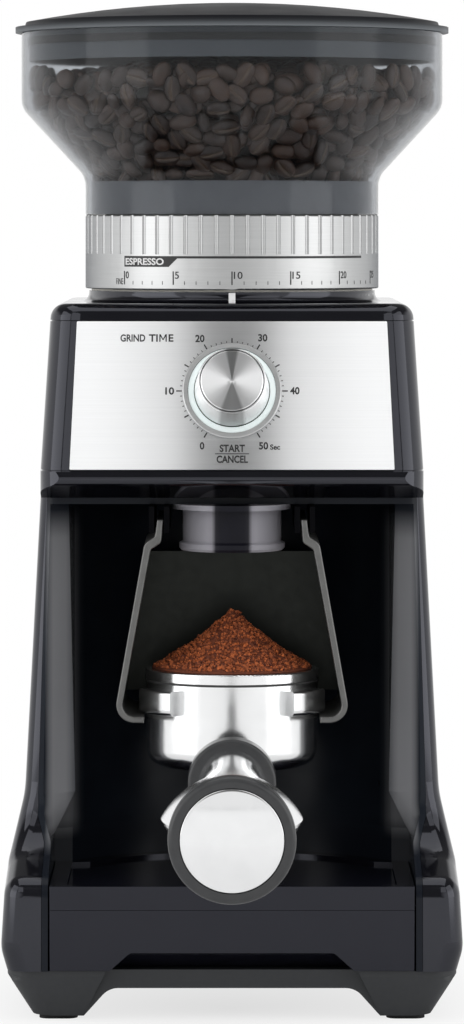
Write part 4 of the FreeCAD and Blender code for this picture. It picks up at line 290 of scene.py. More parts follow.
paintedLightTones = [
    # painted shade: the cradle's back plate, deep in the recess, is painted much darker than its arms
    ("cradleGrey", "Y", ((42.0, 0.0), (47.0, 1.0)), (0.018, 0.02, 0.017)),
    # painted reflection: the outlet's sides are painted pale and its middle left dark
    ("outletBlack", "X", ((6.2, 0.0), (8.0, 0.75), (19.0, 1.0)), (0.42, 0.41, 0.45)),
    # painted reflection: pale bands on the alcove's side walls
    ("linerBlack", "X", ((59.0, 0.0), (63.5, 1.0), (69.4, 1.0), (71.8, 0.0)), (0.19, 0.192, 0.202)),
    # the painted reflection bands stay between 68 and 180 mm high; below them, and above them under the brow, the liner
    # stays dark
    ("linerBlack", "Z", ((60.0, 1.0), (68.0, 0.0), (180.0, 0.0), (191.0, 1.0)), (0.008, 0.01, 0.015)),
    # painted sheen: the lid's rim, below 378 mm, is painted paler than its top
    ("lidBlack", "Z", ((377.0, 1.0), (378.5, 0.0)), (0.125, 0.135, 0.145)),
]
# painted reflection: dark wedges on the dial and the start button, as (degrees from the top, tone)
dialPaintedWedges = ((0.0, 0.38), (8.0, 0.4), (14.0, 1.0), (156.0, 1.0), (163.0, 0.5), (180.0, 0.55))
smoke = dict(tint=(0.5, 0.52, 0.55), density=270.0)
coverLean = 0.11
panelBow = 2.1
for name, axis, stops, tone in paintedLightTones:
    shadeAlong(finishes[name].node_tree, axis, stops, tone)
smokeThrough(finishes["smokeClear"].node_tree, smoke["tint"], smoke["density"])
leanOver(finishes["coverSteel"].node_tree, coverLean)
bowPanel(finishes["brushedPanel"].node_tree, panelBow)
spinFrom(finishes["spunMetalPaintedWedges"].node_tree, dialPaintedWedges)

slotFinish = {
    "black_gloss": "glossBlack", "base_grey": "baseGrey", "foot_rubber": "footRubber", "brushed_panel": "brushedPanel",
    "satin_collar": "satinCollar", "smoke_clear": "smokeClear", "lid_black": "lidBlack", "insert_grey": "insertGrey",
    "polished_steel": "polishedSteel", "burr_steel": "burrSteel", "gear_nylon": "gearNylon",
    "pressed_steel": "pressedSteel", "motor_steel": "motorSteel", "circuit_green": "circuitGreen",
    "halo_white": "haloWhite", "mark_white": "markWhite", "inner_black": "innerBlack", "cradle_grey": "cradleGrey",
    "grip_black": "gripBlack", "seal_rubber": "sealRubber", "bronze": "bronze",
}
nodeFinish = {"alcove_liner": "linerBlack", "grind_outlet": "outletBlack", "start_button": "spunMetalPaintedWedges",
              "time_dial": "spunMetalPaintedWedges", "dial_bezel": "satinCollar", "handle_cover": "coverSteel",
              "cradle_rails": "railBlack", "grinds_tray": "trayBlack", "tray_cover": "trayBlack",
              "filter_basket": "basketSteel", "portafilter_body": "basketSteel"}
for entry in frame["record"]["subparts"]:
    plain = nodes[entry["node"]].data.materials
    plain.clear()
    plain.append(finishes[nodeFinish.get(entry["node"], slotFinish[entry["material_slot"]])])
# widths in mm; only edges that turn by more degrees than this are rounded
softEdges = dict(widths={"filter_basket": 0.9, "grinds_tray": 0.5, "tray_cover": 0.5}, segments=3, sharper=50.0)
for name, wide in softEdges["widths"].items():
    edge = nodes[name].modifiers.new("softEdge", "BEVEL")
    edge.width, edge.segments = wide * mm, softEdges["segments"]
    edge.limit_method, edge.angle_limit = "ANGLE", math.radians(softEdges["sharper"])
    edge.harden_normals = True
print("finishes set on the CAD nodes")


# pieces: built in millimetres, placed in metres
def newPiece(name, mesh, finish, body):
    piece = bpy.data.objects.new(name, mesh)
    bpy.context.scene.collection.objects.link(piece)
    mesh.materials.clear()
    mesh.materials.append(finishes[finish])
    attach(piece, body)
    return piece


def meshOf(name, verts, faces, smooth=True):
    mesh = bpy.data.meshes.new(name)
    mesh.from_pydata([Vector(v) * mm for v in verts], [], faces)
    mesh.polygons.foreach_set("use_smooth", [smooth] * len(mesh.polygons))
    mesh.validate()
    return mesh


def addTo(pile, verts, faces):
    start = len(pile["verts"])
    pile["verts"].extend(verts)
    pile["faces"].extend([tuple(i + start for i in face) for face in faces])


def boxOf(x0, x1, y0, y1):
    return [(x0, y0), (x1, y0), (x1, y1), (x0, y1)]


lettering = dict(size=10.0, extrude=1.0, smooth=4)  # before it is fitted to its place


def wordShape(words, wide, tall, deep, bold=0.28):
    # flat lettering as points and faces in mm, centred, standing up along +Y and out along +Z
    curve = bpy.data.curves.new("words", "FONT")
    curve.body = words
    curve.offset = bold
    curve.size, curve.extrude, curve.resolution_u = lettering["size"], lettering["extrude"], lettering["smooth"]
    holder = bpy.data.objects.new("words", curve)
    bpy.context.scene.collection.objects.link(holder)
    mesh = bpy.data.meshes.new_from_object(holder.evaluated_get(bpy.context.evaluated_depsgraph_get()))
    bpy.data.objects.remove(holder)
    low = [min(v.co[i] for v in mesh.vertices) for i in range(3)]
    high = [max(v.co[i] for v in mesh.vertices) for i in range(3)]
    size = (wide, tall, deep)
    verts = [tuple(((v.co[i] - low[i]) / (high[i] - low[i]) - (0.5 if i < 2 else 0.0)) * size[i] for i in range(3))
             for v in mesh.vertices]
    faces = [tuple(p.vertices) for p in mesh.polygons]
    bpy.data.meshes.remove(mesh)
    return verts, faces


def barShape(points, deep, cuts=1):
    # an upright-sided plate over a flat outline, split along its length so that it can be bent
    verts, faces = [], []
    (x0, y0), (x1, y1), (x2, y2), (x3, y3) = points
    for i in range(cuts + 1):
        t = i / cuts
        low = (x0 + (x1 - x0) * t, y0 + (y1 - y0) * t)
        high = (x3 + (x2 - x3) * t, y3 + (y2 - y3) * t)
        verts += [(*low, 0.0), (*high, 0.0), (*high, deep), (*low, deep)]
    for i in range(cuts):
        a, b = 4 * i, 4 * i + 4
        for j in range(4):
            k = (j + 1) % 4
            faces.append((a + j, b + j, b + k, a + k))
    faces += [(0, 1, 2, 3), (4 * cuts + 3, 4 * cuts + 2, 4 * cuts + 1, 4 * cuts)]
    return verts, faces


# the printed dial face on the tilted panel
dialPrint = dict(
    lift=0.02, deep=0.06, tall=2.95,
    # words, middle across and up, width, boldness
    words=[("GRIND", -38.0, 21.1, 9.5, 0.24), ("TI", -30.15, 21.1, 3.4, 0.24), ("E", -23.37, 21.1, 1.85, 0.24),
           ("20", -12.3, 20.9, 3.5, 0.28), ("30", 11.8, 21.2, 3.5, 0.28), ("10", -23.8, 0.0, 3.4, 0.28),
           ("40", 24.0, 0.1, 3.6, 0.28), ("0", -11.4, -21.7, 1.7, 0.28), ("50", 12.0, -21.7, 3.5, 0.28),
           ("START", 0.1, -22.7, 9.6, 0.28), ("CANCEL", 0.1, -27.0, 11.9, 0.28)],
    # the M between TI and E: two posts, and a V from the outer and inner tops of both posts to its foot
    posts=[(-27.85, -27.4), (-25.45, -25.0)], leftTop=(-27.85, -27.3), foot=(-26.62, -26.22), rightTop=(-25.55, -25.0),
    letterLow=19.63, footUp=0.7,
    unit=("Sec", 16.4, -22.2, 3.8, 2.1),
    rule=(-6.4, 6.5, -24.85, 0.3),
    firstAngle=-150.0, stepAngle=6.0, steps=50,
    dotIn=19.15, dotOut=19.9, dotWide=0.3, halfIn=19.15, halfOut=21.0, tenOut=21.3, barWide=0.5,
)


def printDial(p):
    pile = {"verts": [], "faces": []}
    origin, up, out = Vector(panelMiddle), Vector(panelUp), Vector(panelOut)

    def place(shape, x=0.0, y=0.0):
        spots = [(a + x, b + y, c + p["lift"]) for a, b, c in shape[0]]
        addTo(pile, [tuple(origin + Vector((1, 0, 0)) * a + up * b + out * c) for a, b, c in spots], shape[1])

    for words, x, y, wide, bold in p["words"]:
        place(wordShape(words, wide, p["tall"], p["deep"], bold), x, y)
    low, high = p["letterLow"], p["letterLow"] + p["tall"]
    foot = [(x, low + p["footUp"]) for x in p["foot"]]
    quads = [boxOf(left, right, low, high) for left, right in p["posts"]]
    quads += [foot + [(right, high), (left, high)] for left, right in (p["leftTop"], p["rightTop"])]
    for quad in quads:
        place(barShape(quad, p["deep"]))
    words, x, y, wide, tall = p["unit"]
    place(wordShape(words, wide, tall, p["deep"]), x, y)
    left, right, y, thick = p["rule"]
    place(barShape(boxOf(left, right, y - thick / 2, y + thick / 2), p["deep"]))
    for step in range(p["steps"] + 1):
        turn = math.radians(p["firstAngle"] + p["stepAngle"] * step)
        along, across = (math.sin(turn), math.cos(turn)), (math.cos(turn), -math.sin(turn))
        inner, outer, wide = p["dotIn"], p["dotOut"], p["dotWide"]
        if step % 5 == 0:
            inner, wide = p["halfIn"], p["barWide"]
            outer = p["tenOut"] if step % 10 == 0 else p["halfOut"]
        corners = [(r * along[0] + w * across[0], r * along[1] + w * across[1])
                   for r, w in ((inner, -wide / 2), (inner, wide / 2), (outer, wide / 2), (outer, -wide / 2))]
        place(barShape(corners, p["deep"]))
    mesh = meshOf("dialPrint", pile["verts"], pile["faces"], False)
    newPiece("dialPrint", mesh, "printBlack", "frame")


printDial(dialPrint)

# the printed scale round the grind collar
collarScale = dict(
    radius=58.2, lift=0.015, deep=0.05, zero=-46.0, step=4.6, last=25,
    longMark=(277.0, 282.2, 0.5), shortMark=(277.0, 278.4, 0.24),  # low, high, width
    digitTall=2.8, digitWide=1.7, digitMid=280.7, digitGap=0.7, digitBold=0.12,
    fineMid=278.2, fineWide=4.1, fineTall=2.3, fineGap=0.8, fineBold=0.0,
    bandLow=287.2, bandHigh=288.1, bandLong=108.0, bandCuts=48,
    flagLow=283.9, flagLong=25.0, flagSlope=3.6, flagCuts=12,
    label="ESPRESSO", labelWide=18.6, labelTall=2.7, labelMid=285.95, labelGap=0.7, labelRise=0.04,
)


def printScale(p):
    dark, pale = {"verts": [], "faces": []}, {"verts": [], "faces": []}

    def onCollar(verts):
        bent = []
        for x, y, z in verts:
            turn = x / p["radius"]
            reach = p["radius"] + z + p["lift"]
            bent.append((reach * math.sin(turn), axisY - reach * math.cos(turn), y))
        return bent

    def place(pile, shape, x, y, rise=0.0):
        addTo(pile, onCollar([(a + x, b + y, c + rise) for a, b, c in shape[0]]), shape[1])

    for step in range(p["last"] + 1):
        x = math.radians(p["zero"] + p["step"] * step) * p["radius"]
        numbered = step % 5 == 0
        low, high, wide = p["longMark"] if numbered else p["shortMark"]
        place(dark, barShape(boxOf(-wide / 2, wide / 2, low, high), p["deep"]), x, 0.0)
        if numbered:
            digits = str(step)
            wide = p["digitWide"] * len(digits)
            number = wordShape(digits, wide, p["digitTall"], p["deep"], p["digitBold"])
            place(dark, number, x + p["digitGap"] + wide / 2, p["digitMid"])
    start = math.radians(p["zero"]) * p["radius"]
    fine = wordShape("FINE", p["fineWide"], p["fineTall"], p["deep"], p["fineBold"])
    place(dark, fine, start - p["fineWide"] / 2 - p["fineGap"], p["fineMid"])
    band = boxOf(start, start + p["bandLong"], p["bandLow"], p["bandHigh"])
    place(dark, barShape(band, p["deep"], p["bandCuts"]), 0.0, 0.0)
    flag = [(start, p["flagLow"]), (start + p["flagLong"] - p["flagSlope"], p["flagLow"]),
            (start + p["flagLong"], p["bandLow"]), (start, p["bandLow"])]
    place(dark, barShape(flag, p["deep"], p["flagCuts"]), 0.0, 0.0)
    label = wordShape(p["label"], p["labelWide"], p["labelTall"], p["deep"])
    place(pale, label, start + p["labelWide"] / 2 + p["labelGap"], p["labelMid"], p["labelRise"])
    scaleMesh = meshOf("collarScale", dark["verts"], dark["faces"], False)
    labelMesh = meshOf("collarLabel", pale["verts"], pale["faces"], False)
    newPiece("collarScale", scaleMesh, "printBlack", "collar")
    newPiece("collarLabel", labelMesh, "markWhite", "collar")


printScale(collarScale)
print("printing done")

# coffee beans in the hopper
beanFill = dict(
    seed=11, length=10.2, width=7.4, high=5.6, rings=9, firstRing=0.6, spareRing=0.2, fullness=0.8,
    neck=56.0, neckTop=319.9, bowl=81.4, bowlBottom=347.4,  # the hopper's inside
    bottom=318.6, top=358.5, crown=8.5, skirt=77.0, sink=3.0,
    spacing=6.5, misses=560, inset=3.0, deeper=5.2, layers=2,
    flatOut=0.45, sway=0.42, growth=(0.9, 1.08), gap=0.5, pushes=3, pushMore=1.02,
)


def wallRadius(p, z):
    t = min(1.0, max(0.0, (z - p["neckTop"]) / (p["bowlBottom"] - p["neckTop"])))
    return p["neck"] + (p["bowl"] - p["neck"]) * t


def beanShape(p):
    # one bean lying on its flat side, the crease along the middle of that side
    section = [(0.0, 1.0), (0.5, 0.86), (0.86, 0.5), (1.0, 0.05), (0.82, -0.42), (0.34, -0.62), (0.1, -0.6),
               (0.0, -0.36), (-0.1, -0.6), (-0.34, -0.62), (-0.82, -0.42), (-1.0, 0.05), (-0.86, 0.5), (-0.5, 0.86)]
    crease = [0.0] * 6 + [0.7, 1.0, 0.7] + [0.0] * 5
    verts, faces, marks = [], [], []
    count, rings = len(section), p["rings"]
    for i in range(rings):
        turn = math.pi * (i + p["firstRing"]) / (rings + p["spareRing"])
        along, grow = -math.cos(turn), math.sin(turn) ** p["fullness"]
        for (y, z), mark in zip(section, crease):
            verts.append((along * p["length"] / 2, y * grow * p["width"] / 2, z * grow * p["high"] / 2))
            marks.append(mark)
    for i in range(rings - 1):
        for j in range(count):
            k = (j + 1) % count
            faces.append((i * count + j, (i + 1) * count + j, (i + 1) * count + k, i * count + k))
    for i, end in ((0, -1.0), (rings - 1, 1.0)):
        verts.append((end * p["length"] / 2, 0.0, 0.1))
        marks.append(0.0)
        tip = len(verts) - 1
        for j in range(count):
            k = (j + 1) % count
            faces.append((tip, i * count + j, i * count + k) if end < 0 else (tip, i * count + k, i * count + j))
    return verts, faces, marks


def scatter(dice, make, p):
    # darts: a spot is kept when it lies clear of those before it
    spots, misses = [], 0
    while misses < p["misses"]:
        spot = make(dice)
        if all((spot[0] - other[0]).length > p["spacing"] for other in spots):
            spots.append(spot)
            misses = 0
        else:
            misses += 1
    return spots


def anyAxis(dice):
    return Vector((dice.gauss(0, 1), dice.gauss(0, 1), dice.gauss(0, 1))).normalized()


def pourBeans(p):
    dice = random.Random(p["seed"])
    shape, faces, marks = beanShape(p)
    slope = math.atan2(p["bowl"] - p["neck"], p["bowlBottom"] - p["neckTop"])

    def onWall(inset):
        def make(dice):
            z = dice.uniform(p["bottom"], p["top"])
            turn = dice.uniform(0.0, fullTurn)
            lean = slope if p["neckTop"] < z < p["bowlBottom"] else 0.0
            out = Vector((math.sin(turn) * math.cos(lean), -math.cos(turn) * math.cos(lean), -math.sin(lean)))
            reach = wallRadius(p, z) - inset
            return Vector((reach * math.sin(turn), axisY - reach * math.cos(turn), z)), out
        return make

    def onTop(dice):
        reach, turn = p["skirt"] * math.sqrt(dice.random()), dice.uniform(0.0, fullTurn)
        z = p["top"] - p["sink"] + p["crown"] * (1.0 - (reach / p["skirt"]) ** 2)
        return Vector((reach * math.sin(turn), axisY - reach * math.cos(turn), z)), Vector((0, 0, 1))

    spots = []
    for layer in range(p["layers"]):
        spots += scatter(dice, onWall(p["inset"] + layer * p["deeper"]), p)
    spots += scatter(dice, onTop, p)
    pile, tones, creases = {"verts": [], "faces": []}, [], []
    for spot, out in spots:
        flip = -1.0 if dice.random() < p["flatOut"] else 1.0
        tilt = Matrix.Rotation(dice.gauss(0.0, p["sway"]), 3, anyAxis(dice))
        basis = (out * flip).to_track_quat("Z", "X").to_matrix()
        pose = tilt @ basis @ Matrix.Rotation(dice.uniform(0.0, fullTurn), 3, "Z")
        grow = dice.uniform(*p["growth"])
        points = [pose @ (Vector(v) * grow) + spot for v in shape]
        for push in range(p["pushes"]):
            over = max(math.hypot(v.x, v.y - axisY) - wallRadius(p, v.z) + p["gap"] for v in points)
            if over <= 0.0:
                break
            inward = Vector((spot.x, spot.y - axisY, 0.0)).normalized() * -over * p["pushMore"]
            points = [v + inward for v in points]
        addTo(pile, points, faces)
        tones += [dice.random()] * len(shape)
        creases += marks
    mesh = meshOf("coffeeBeans", pile["verts"], pile["faces"])
    for label, values in (("tone", tones), ("crease", creases)):
        layer = mesh.attributes.new(label, "FLOAT", "POINT")
        layer.data.foreach_set("value", values)
    newPiece("coffeeBeans", mesh, "roastBean", "hopper")
    print("beans poured,", len(spots))


beanSkin = dict(dark=(0.032, 0.016, 0.01), light=(0.097, 0.053, 0.034), line=(0.12, 0.075, 0.045),
                spots=(0.45, 0.42, 0.4), spotShare=0.6, spotScale=260.0, spotDetail=4.0, rough=(0.3, 0.48),
                bump=0.35, bumpDeep=0.2, bumpScale=900.0)


def makeBeanFinish(p):
    # each bean has its own roast, with darker mottling and a paler line along its crease
    material = bpy.data.materials.new("roastBean")
    material.use_nodes = True
    tree = material.node_tree
    shader = tree.nodes["Principled BSDF"]
    roast = wireRamp(tree, wireTone(tree, "tone"), p["dark"], p["light"], (0.0, 1.0))
    mottle = wireNoise(tree, p["spotScale"], noStretch, p["spotDetail"])
    shade = wireMix(tree, roast, wireRamp(tree, mottle, p["spots"], (1.0, 1.0, 1.0)), "MULTIPLY")
    shade.inputs["Factor"].default_value = p["spotShare"]
    line = wireMix(tree, shade.outputs["Result"], p["line"])
    tree.links.new(wireTone(tree, "crease"), line.inputs["Factor"])
    repaint(tree, line.outputs["Result"])
    tree.links.new(wireRange(tree, mottle, *p["rough"]), shader.inputs["Roughness"])
    bump = tree.nodes.new("ShaderNodeBump")
    bump.inputs["Strength"].default_value = p["bump"]
    bump.inputs["Distance"].default_value = p["bumpDeep"] * mm
    tree.links.new(wireNoise(tree, p["bumpScale"], noStretch), bump.inputs["Height"])
    tree.links.new(bump.outputs["Normal"], shader.inputs["Normal"])
    return material


finishes["roastBean"] = makeBeanFinish(beanSkin)


def turned(name, profile, middle, around):
    # a closed body of revolution about an upright line through middle
    verts, faces = [], []
    for step in range(around):
        turn = fullTurn * step / around
        verts += [(middle[0] + r * math.sin(turn), middle[1] - r * math.cos(turn), z) for r, z in profile]
    count = len(profile)
    for step in range(around):
        a, b = step * count, ((step + 1) % around) * count
        faces += [(a + i, b + i, b + i + 1, a + i + 1) for i in range(count - 1)]
    mesh = meshOf(name, verts, faces)
    joined = bmesh.new()
    joined.from_mesh(mesh)
    bmesh.ops.remove_doubles(joined, verts=joined.verts, dist=0.001 * mm)
    bmesh.ops.recalc_face_normals(joined, faces=joined.faces)
    joined.to_mesh(mesh)
    joined.free()
    return mesh


pourBeans(beanFill)

# painted shade: a solid stand-in for the beans behind the ones that are seen, painted near black, as (radius, height)
beanShadeMass = dict(around=48, profile=[(0.0, 318.0), (47.0, 318.0), (47.0, 321.9), (72.4, 348.4), (72.4, 352.0),
                                    (40.0, 355.0), (0.0, 356.5)])
# near-black painted shade for the beans deep in the hopper
finishes["paintedBeanShade"] = makeFinish("paintedBeanShade", dict(
    dark=(0.006, 0.003, 0.002), light=(0.014, 0.007, 0.004), rough=(0.6, 0.8), scale=200.0))
heapMesh = turned("beanShadeMass", beanShadeMass["profile"], (0.0, axisY), beanShadeMass["around"])
newPiece("beanShadeMass", heapMesh, "paintedBeanShade", "hopper")

# ground coffee heaped in the basket
groundsHeap = dict(
    seed=5, middle=(0.0, 12.0), basket=27.2, low=119.0, rim=129.65, reach=30.8, edge=130.2, peak=151.9, hollow=1.3,
    rings=26, around=84, rough=0.9, lumps=((0.16, 3.0, 1.6), (0.5, 9.0, 0.8)), calmEdge=5.0, edgeLeft=0.15,
    grains=3800, grainReach=0.97, grainSize=(0.45, 1.05), chipped=(0.72, 1.0), spin=6.28, proud=0.25,
    gapShadeTone=0.15, toneBend=0.8,
)


def heapGrounds(p):
    dice = random.Random(p["seed"])
    pile = {"verts": [], "faces": []}

    def height(x, y):
        reach = math.hypot(x, y) / p["reach"]
        cone = p["edge"] + (p["peak"] - p["edge"]) * max(0.0, 1.0 - reach) ** p["hollow"]
        lump = sum(noise.noise(Vector((x * fine, y * fine, layer))) * tall for fine, layer, tall in p["lumps"])
        return cone + lump * p["rough"] * min(1.0, (1.0 - reach) * p["calmEdge"] + p["edgeLeft"])

    def atTurn(r, turn):
        return r * math.sin(turn), -r * math.cos(turn)

    verts, faces = [], []
    around, rings = p["around"], p["rings"]
    turns = [fullTurn * step / around for step in range(around)]
    for ring in range(rings, 0, -1):
        for turn in turns:
            x, y = atTurn(p["reach"] * ring / rings, turn)
            verts.append((x, y, height(x, y)))
    skirts = [(p["reach"], p["rim"]), (p["basket"], p["rim"]), (p["basket"], p["low"])]
    for r, z in skirts:
        verts += [(*atTurn(r, turn), z) for turn in turns]
    order = list(range(rings - 1, -1, -1)) + list(range(rings, rings + len(skirts)))
    for a, b in zip(order, order[1:]):
        for s in range(around):
            t = (s + 1) % around
            faces.append((a * around + s, b * around + s, b * around + t, a * around + t))
    verts.append((0.0, 0.0, height(0.0, 0.0)))
    verts.append((0.0, 0.0, p["low"]))
    inner, last = (rings - 1) * around, order[-1] * around
    for s in range(around):
        t = (s + 1) % around
        faces.append((len(verts) - 2, inner + s, inner + t))
        faces.append((len(verts) - 1, last + t, last + s))
    addTo(pile, verts, faces)
    octa = [(1, 0, 0), (0, 1, 0), (-1, 0, 0), (0, -1, 0), (0, 0, 1), (0, 0, -1)]
    sides = [(0, 1, 4), (1, 2, 4), (2, 3, 4), (3, 0, 4), (1, 0, 5), (2, 1, 5), (3, 2, 5), (0, 3, 5)]
    for grain in range(p["grains"]):
        r, turn = p["reach"] * p["grainReach"] * math.sqrt(dice.random()), dice.uniform(0.0, fullTurn)
        x, y = atTurn(r, turn)
        size = dice.uniform(*p["grainSize"])
        spin = Matrix.Rotation(dice.uniform(0.0, p["spin"]), 3, anyAxis(dice))
        chip = [spin @ (Vector(v) * size * dice.uniform(*p["chipped"])) for v in octa]
        level = height(x, y)
        addTo(pile, [(c.x + x, c.y + y, c.z + level + size * p["proud"]) for c in chip], sides)
    placed = [(x + p["middle"][0], y + p["middle"][1], z) for x, y, z in pile["verts"]]
    mesh = meshOf("groundCoffee", placed, pile["faces"], False)
    # painted shade: the mound seen between the grains is painted dark
    tones = [p["gapShadeTone"]] * len(verts)
    for grain in range(p["grains"]):
        tones += [dice.random() ** p["toneBend"]] * len(octa)
    mesh.attributes.new("tone", "FLOAT", "POINT").data.foreach_set("value", tones)
    newPiece("groundCoffee", mesh, "groundsBrown", "portafilter")


finishes["groundsBrown"] = makeFinish("groundsBrown", dict(
    dark=(0.55, 0.5, 0.5), light=(1.0, 1.0, 1.0), rough=(0.7, 0.9), scale=900.0,
    bump=0.6, bumpScale=1600.0, bumpDeep=0.3))


def toneByGrain(tree, dark, light):
    # each grain has its own brown, the mound between the grains is painted dark as painted shade, and the mottling
    # darkens it here and there
    browns = wireRamp(tree, wireTone(tree, "tone"), dark, light, (0.0, 1.0))
    repaint(tree, wireMix(tree, browns, paintOf(tree), "MULTIPLY").outputs["Result"])


grainBrowns = dict(dark=(0.09, 0.016, 0.005), light=(0.62, 0.16, 0.04))
toneByGrain(finishes["groundsBrown"].node_tree, grainBrowns["dark"], grainBrowns["light"])
heapGrounds(groundsHeap)
print("grounds heaped")

# painted shadow: dark rings where there is only shade, under the basket's rim against the cup, and in the gap between
# the hopper and the collar
shadowRings = {
    "rimShadowRing": dict(body="portafilter", middle=(0.0, 12.0), around=96, inner=32.8, outer=33.35, low=124.75, high=125.75,
                    bevel=0.15),
    "neckShadowRing": dict(body="hopper", middle=(0.0, axisY), around=144, inner=56.4, outer=57.8, low=304.05, high=304.35,
                     bevel=0.0),
}
for name, p in shadowRings.items():
    ring = [(p["inner"], p["low"]), (p["outer"], p["low"] + p["bevel"]), (p["outer"], p["high"] - p["bevel"]),
            (p["inner"], p["high"]), (p["inner"], p["low"])]
    # each ring is a painted shadow, in the dark rubber finish
    newPiece(name, turned(name, ring, p["middle"], p["around"]), "sealRubber", p["body"])
print("seams laid")

# the polished cap on the end of the handle, with a softly rounded rim
endCap = dict(root=(0.0, -21.0, 91.4), tilt=2.0, back=154.0, apex=157.0, radius=18.4, crown=1.0, around=72,
              edge=0.6, edgeTurns=(0.0, 0.35, 0.7, 1.05, 1.4), steps=14, rimStep=14.5)


def makeCap(p):
    rim, low = p["radius"] - p["edge"], p["apex"] - p["crown"] - p["edge"]
    profile = [(0.0, p["back"]), (p["radius"], p["back"])]
    profile += [(rim + p["edge"] * math.cos(a), low + p["edge"] * math.sin(a)) for a in p["edgeTurns"]]
    for step in range(p["steps"], -1, -1):
        r = rim * step / p["rimStep"]
        profile.append((r, p["apex"] - p["crown"] * (r / rim) ** 2))
    mesh = turned("endCap", profile, (0.0, 0.0), p["around"])
    turn = Matrix.Rotation(math.radians(90.0 + p["tilt"]), 4, "X")
    mesh.transform(Matrix.Translation(Vector(p["root"]) * mm) @ turn)
    cap = newPiece("endCap", mesh, "polishedSteel", "portafilter")
    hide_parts("handle_cap")


makeCap(endCap)
print("cap turned")

# floor, lights and camera
stageSet = dict(floorSize=4.4, floorTone=0.8, fadeIn=-0.6, fadeOut=0.25, glowIn=0.34, glowOut=0.6)


def makeFloor(p):
    half = p["floorSize"] / 2
    mesh = bpy.data.meshes.new("floor")
    mesh.from_pydata([(-half, -half, 0), (half, -half, 0), (half, half, 0), (-half, half, 0)], [], [(0, 1, 2, 3)])
    floor = bpy.data.objects.new("floor", mesh)
    bpy.context.scene.collection.objects.link(floor)
    material = bpy.data.materials.new("floorWhite")
    material.use_nodes = True
    tree = material.node_tree
    tree.nodes.remove(tree.nodes["Principled BSDF"])
    paper = tree.nodes.new("ShaderNodeBsdfDiffuse")
    paper.inputs["Color"].default_value = (p["floorTone"],) * 3 + (1.0,)
    glow = tree.nodes.new("ShaderNodeEmission")
    place = tree.nodes.new("ShaderNodeTexCoord")
    length = tree.nodes.new("ShaderNodeVectorMath")
    length.operation = "LENGTH"
    path = tree.nodes.new("ShaderNodeLightPath")
    blend = tree.nodes.new("ShaderNodeMixShader")
    tree.links.new(place.outputs["Object"], length.inputs[0])

    def fadeFor(ray, low, high):
        fade = tree.nodes.new("ShaderNodeMapRange")
        fade.inputs["From Min"].default_value = low
        fade.inputs["From Max"].default_value = high
        both = tree.nodes.new("ShaderNodeMath")
        both.operation = "MULTIPLY"
        tree.links.new(length.outputs["Value"], fade.inputs["Value"])
        tree.links.new(fade.outputs["Result"], both.inputs[0])
        tree.links.new(path.outputs[ray], both.inputs[1])
        return both.outputs["Value"]

    seen = fadeFor("Is Camera Ray", p["fadeIn"], p["fadeOut"])
    for other in (fadeFor("Is Transmission Ray", p["fadeIn"], p["fadeOut"]),
                  fadeFor("Is Glossy Ray", p["glowIn"], p["glowOut"])):
        most = tree.nodes.new("ShaderNodeMath")
        most.operation = "MAXIMUM"
        tree.links.new(seen, most.inputs[0])
        tree.links.new(other, most.inputs[1])
        seen = most.outputs["Value"]
    tree.links.new(seen, blend.inputs["Fac"])
    tree.links.new(paper.outputs["BSDF"], blend.inputs[1])
    tree.links.new(glow.outputs["Emission"], blend.inputs[2])
    tree.links.new(blend.outputs["Shader"], tree.nodes["Material Output"].inputs["Surface"])
    mesh.materials.append(material)


makeFloor(stageSet)

studioWorld = dict(room=0.62, mirror=0.16, wall=1.0, wallFrom=0.1, wallTo=0.5, wallLow=0.32, wallHigh=0.6,
                   sill=0.9, sillFoot=-0.052, sillFrom=-0.04, sillLow=0.08, sillHigh=0.18, cardFrom=0.9, cardTo=0.96)


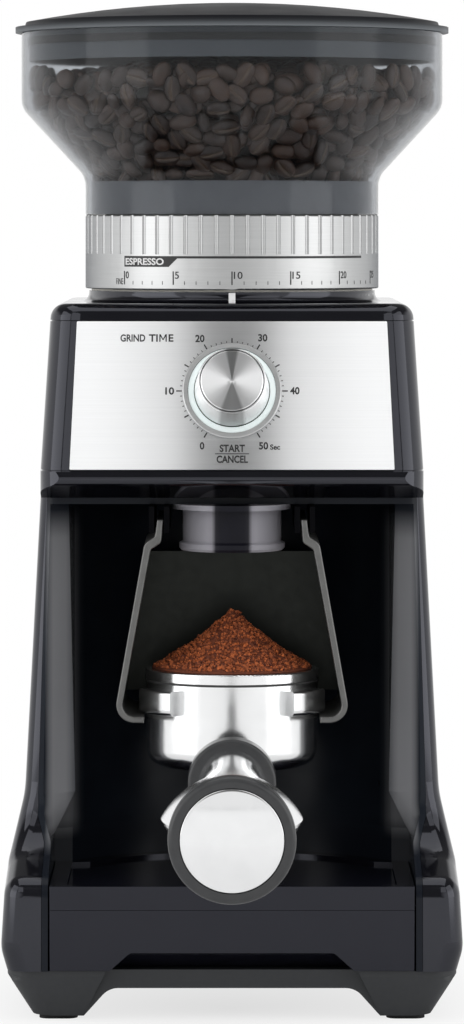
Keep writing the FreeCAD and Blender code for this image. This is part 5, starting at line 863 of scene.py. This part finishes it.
def makeWorld(p):
    # even light on everything, white to the eye; mirrors see a dim room, pale walls at both sides and a card behind
    world = bpy.data.worlds.new("studio")
    bpy.context.scene.world = world
    world.use_nodes = True
    tree = world.node_tree
    back = tree.nodes["Background"]
    path = tree.nodes.new("ShaderNodeLightPath")
    place = tree.nodes.new("ShaderNodeTexCoord")
    split = tree.nodes.new("ShaderNodeSeparateXYZ")
    tree.links.new(place.outputs["Generated"], split.inputs["Vector"])

    def ramp(source, low, high, start, stop):
        spread = tree.nodes.new("ShaderNodeMapRange")
        spread.interpolation_type = "SMOOTHSTEP"
        for label, value in zip(("From Min", "From Max", "To Min", "To Max"), (low, high, start, stop)):
            spread.inputs[label].default_value = value
        tree.links.new(source, spread.inputs["Value"])
        return spread.outputs["Result"]

    def joined(kind, first, second):
        step = tree.nodes.new("ShaderNodeMath")
        step.operation = kind
        step.use_clamp = kind == "ADD"
        tree.links.new(first, step.inputs[0])
        tree.links.new(second, step.inputs[1])
        return step.outputs["Value"]

    aside = ramp(wireMath(tree, "ABSOLUTE", split.outputs["X"], 0.0), p["wallFrom"], p["wallTo"], 0.0, p["wall"])
    height = wireMath(tree, "ABSOLUTE", split.outputs["Z"], 0.0)
    level = ramp(height, p["wallLow"], p["wallHigh"], 1.0, 0.0)
    above = ramp(split.outputs["Z"], p["sillFoot"], p["sillFrom"], 0.0, 1.0)
    sill = joined("MULTIPLY", above, ramp(height, p["sillLow"], p["sillHigh"], p["sill"], 0.0))
    aside = joined("MAXIMUM", aside, sill)
    card = ramp(split.outputs["Y"], p["cardFrom"], p["cardTo"], p["mirror"], 1.0)
    shiny = tree.nodes.new("ShaderNodeMix")
    shiny.inputs["A"].default_value = p["room"]
    final = tree.nodes.new("ShaderNodeMix")
    final.inputs["B"].default_value = 1.0
    tree.links.new(path.outputs["Is Glossy Ray"], shiny.inputs["Factor"])
    tree.links.new(joined("MAXIMUM", card, joined("MULTIPLY", aside, level)), shiny.inputs["B"])
    direct = joined("ADD", path.outputs["Is Camera Ray"], path.outputs["Is Transmission Ray"])
    tree.links.new(direct, final.inputs["Factor"])
    tree.links.new(shiny.outputs["Result"], final.inputs["A"])
    tree.links.new(final.outputs["Result"], back.inputs["Strength"])
    back.inputs["Color"].default_value = (1.0, 1.0, 1.0, 1.0)


makeWorld(studioWorld)

softBoxes = {  # level is the brightness of the lit cloth
    "leftBox": dict(at=(-1.2, -0.5, 0.5), size=(0.95, 1.6), level=1.3),
    "rightBox": dict(at=(1.2, -0.5, 0.5), size=(0.95, 1.6), level=1.2),
    "frontLeft": dict(at=(-0.62, -1.25, 1.15), size=(0.8, 0.8), level=1.0),
    "frontRight": dict(at=(0.62, -1.25, 1.15), size=(0.8, 0.8), level=1.0),
    "topBox": dict(at=(0.0, 0.0, 1.6), size=(1.6, 1.4), level=1.1),
}
aim = Vector((0.0, 0.04, 0.22))
for name, box in softBoxes.items():
    lamp = bpy.data.lights.new(name, "AREA")
    lamp.shape = "RECTANGLE"
    lamp.size, lamp.size_y = box["size"]
    lamp.energy = box["level"] * math.pi * lamp.size * lamp.size_y
    holder = bpy.data.objects.new(name, lamp)
    holder.location = box["at"]
    holder.rotation_euler = (aim - Vector(box["at"])).to_track_quat("-Z", "Y").to_euler()
    holder.visible_camera = False
    bpy.context.scene.collection.objects.link(holder)

viewPoint = dict(distance=2.0, high=0.304, sensor=36.0, lens=176.84, drop=-0.29)
camera = bpy.data.cameras.new("camera")
camera.sensor_width = viewPoint["sensor"]
camera.lens = viewPoint["lens"]
camera.shift_y = viewPoint["drop"]
cameraHolder = bpy.data.objects.new("camera", camera)
cameraHolder.location = (0.0, axisY * mm - viewPoint["distance"], viewPoint["high"])
cameraHolder.rotation_euler = (math.radians(90.0), 0.0, 0.0)
bpy.context.scene.collection.objects.link(cameraHolder)
bpy.context.scene.camera = cameraHolder
bpy.context.scene.view_settings.view_transform = "Standard"
print("stage, lights and camera set")
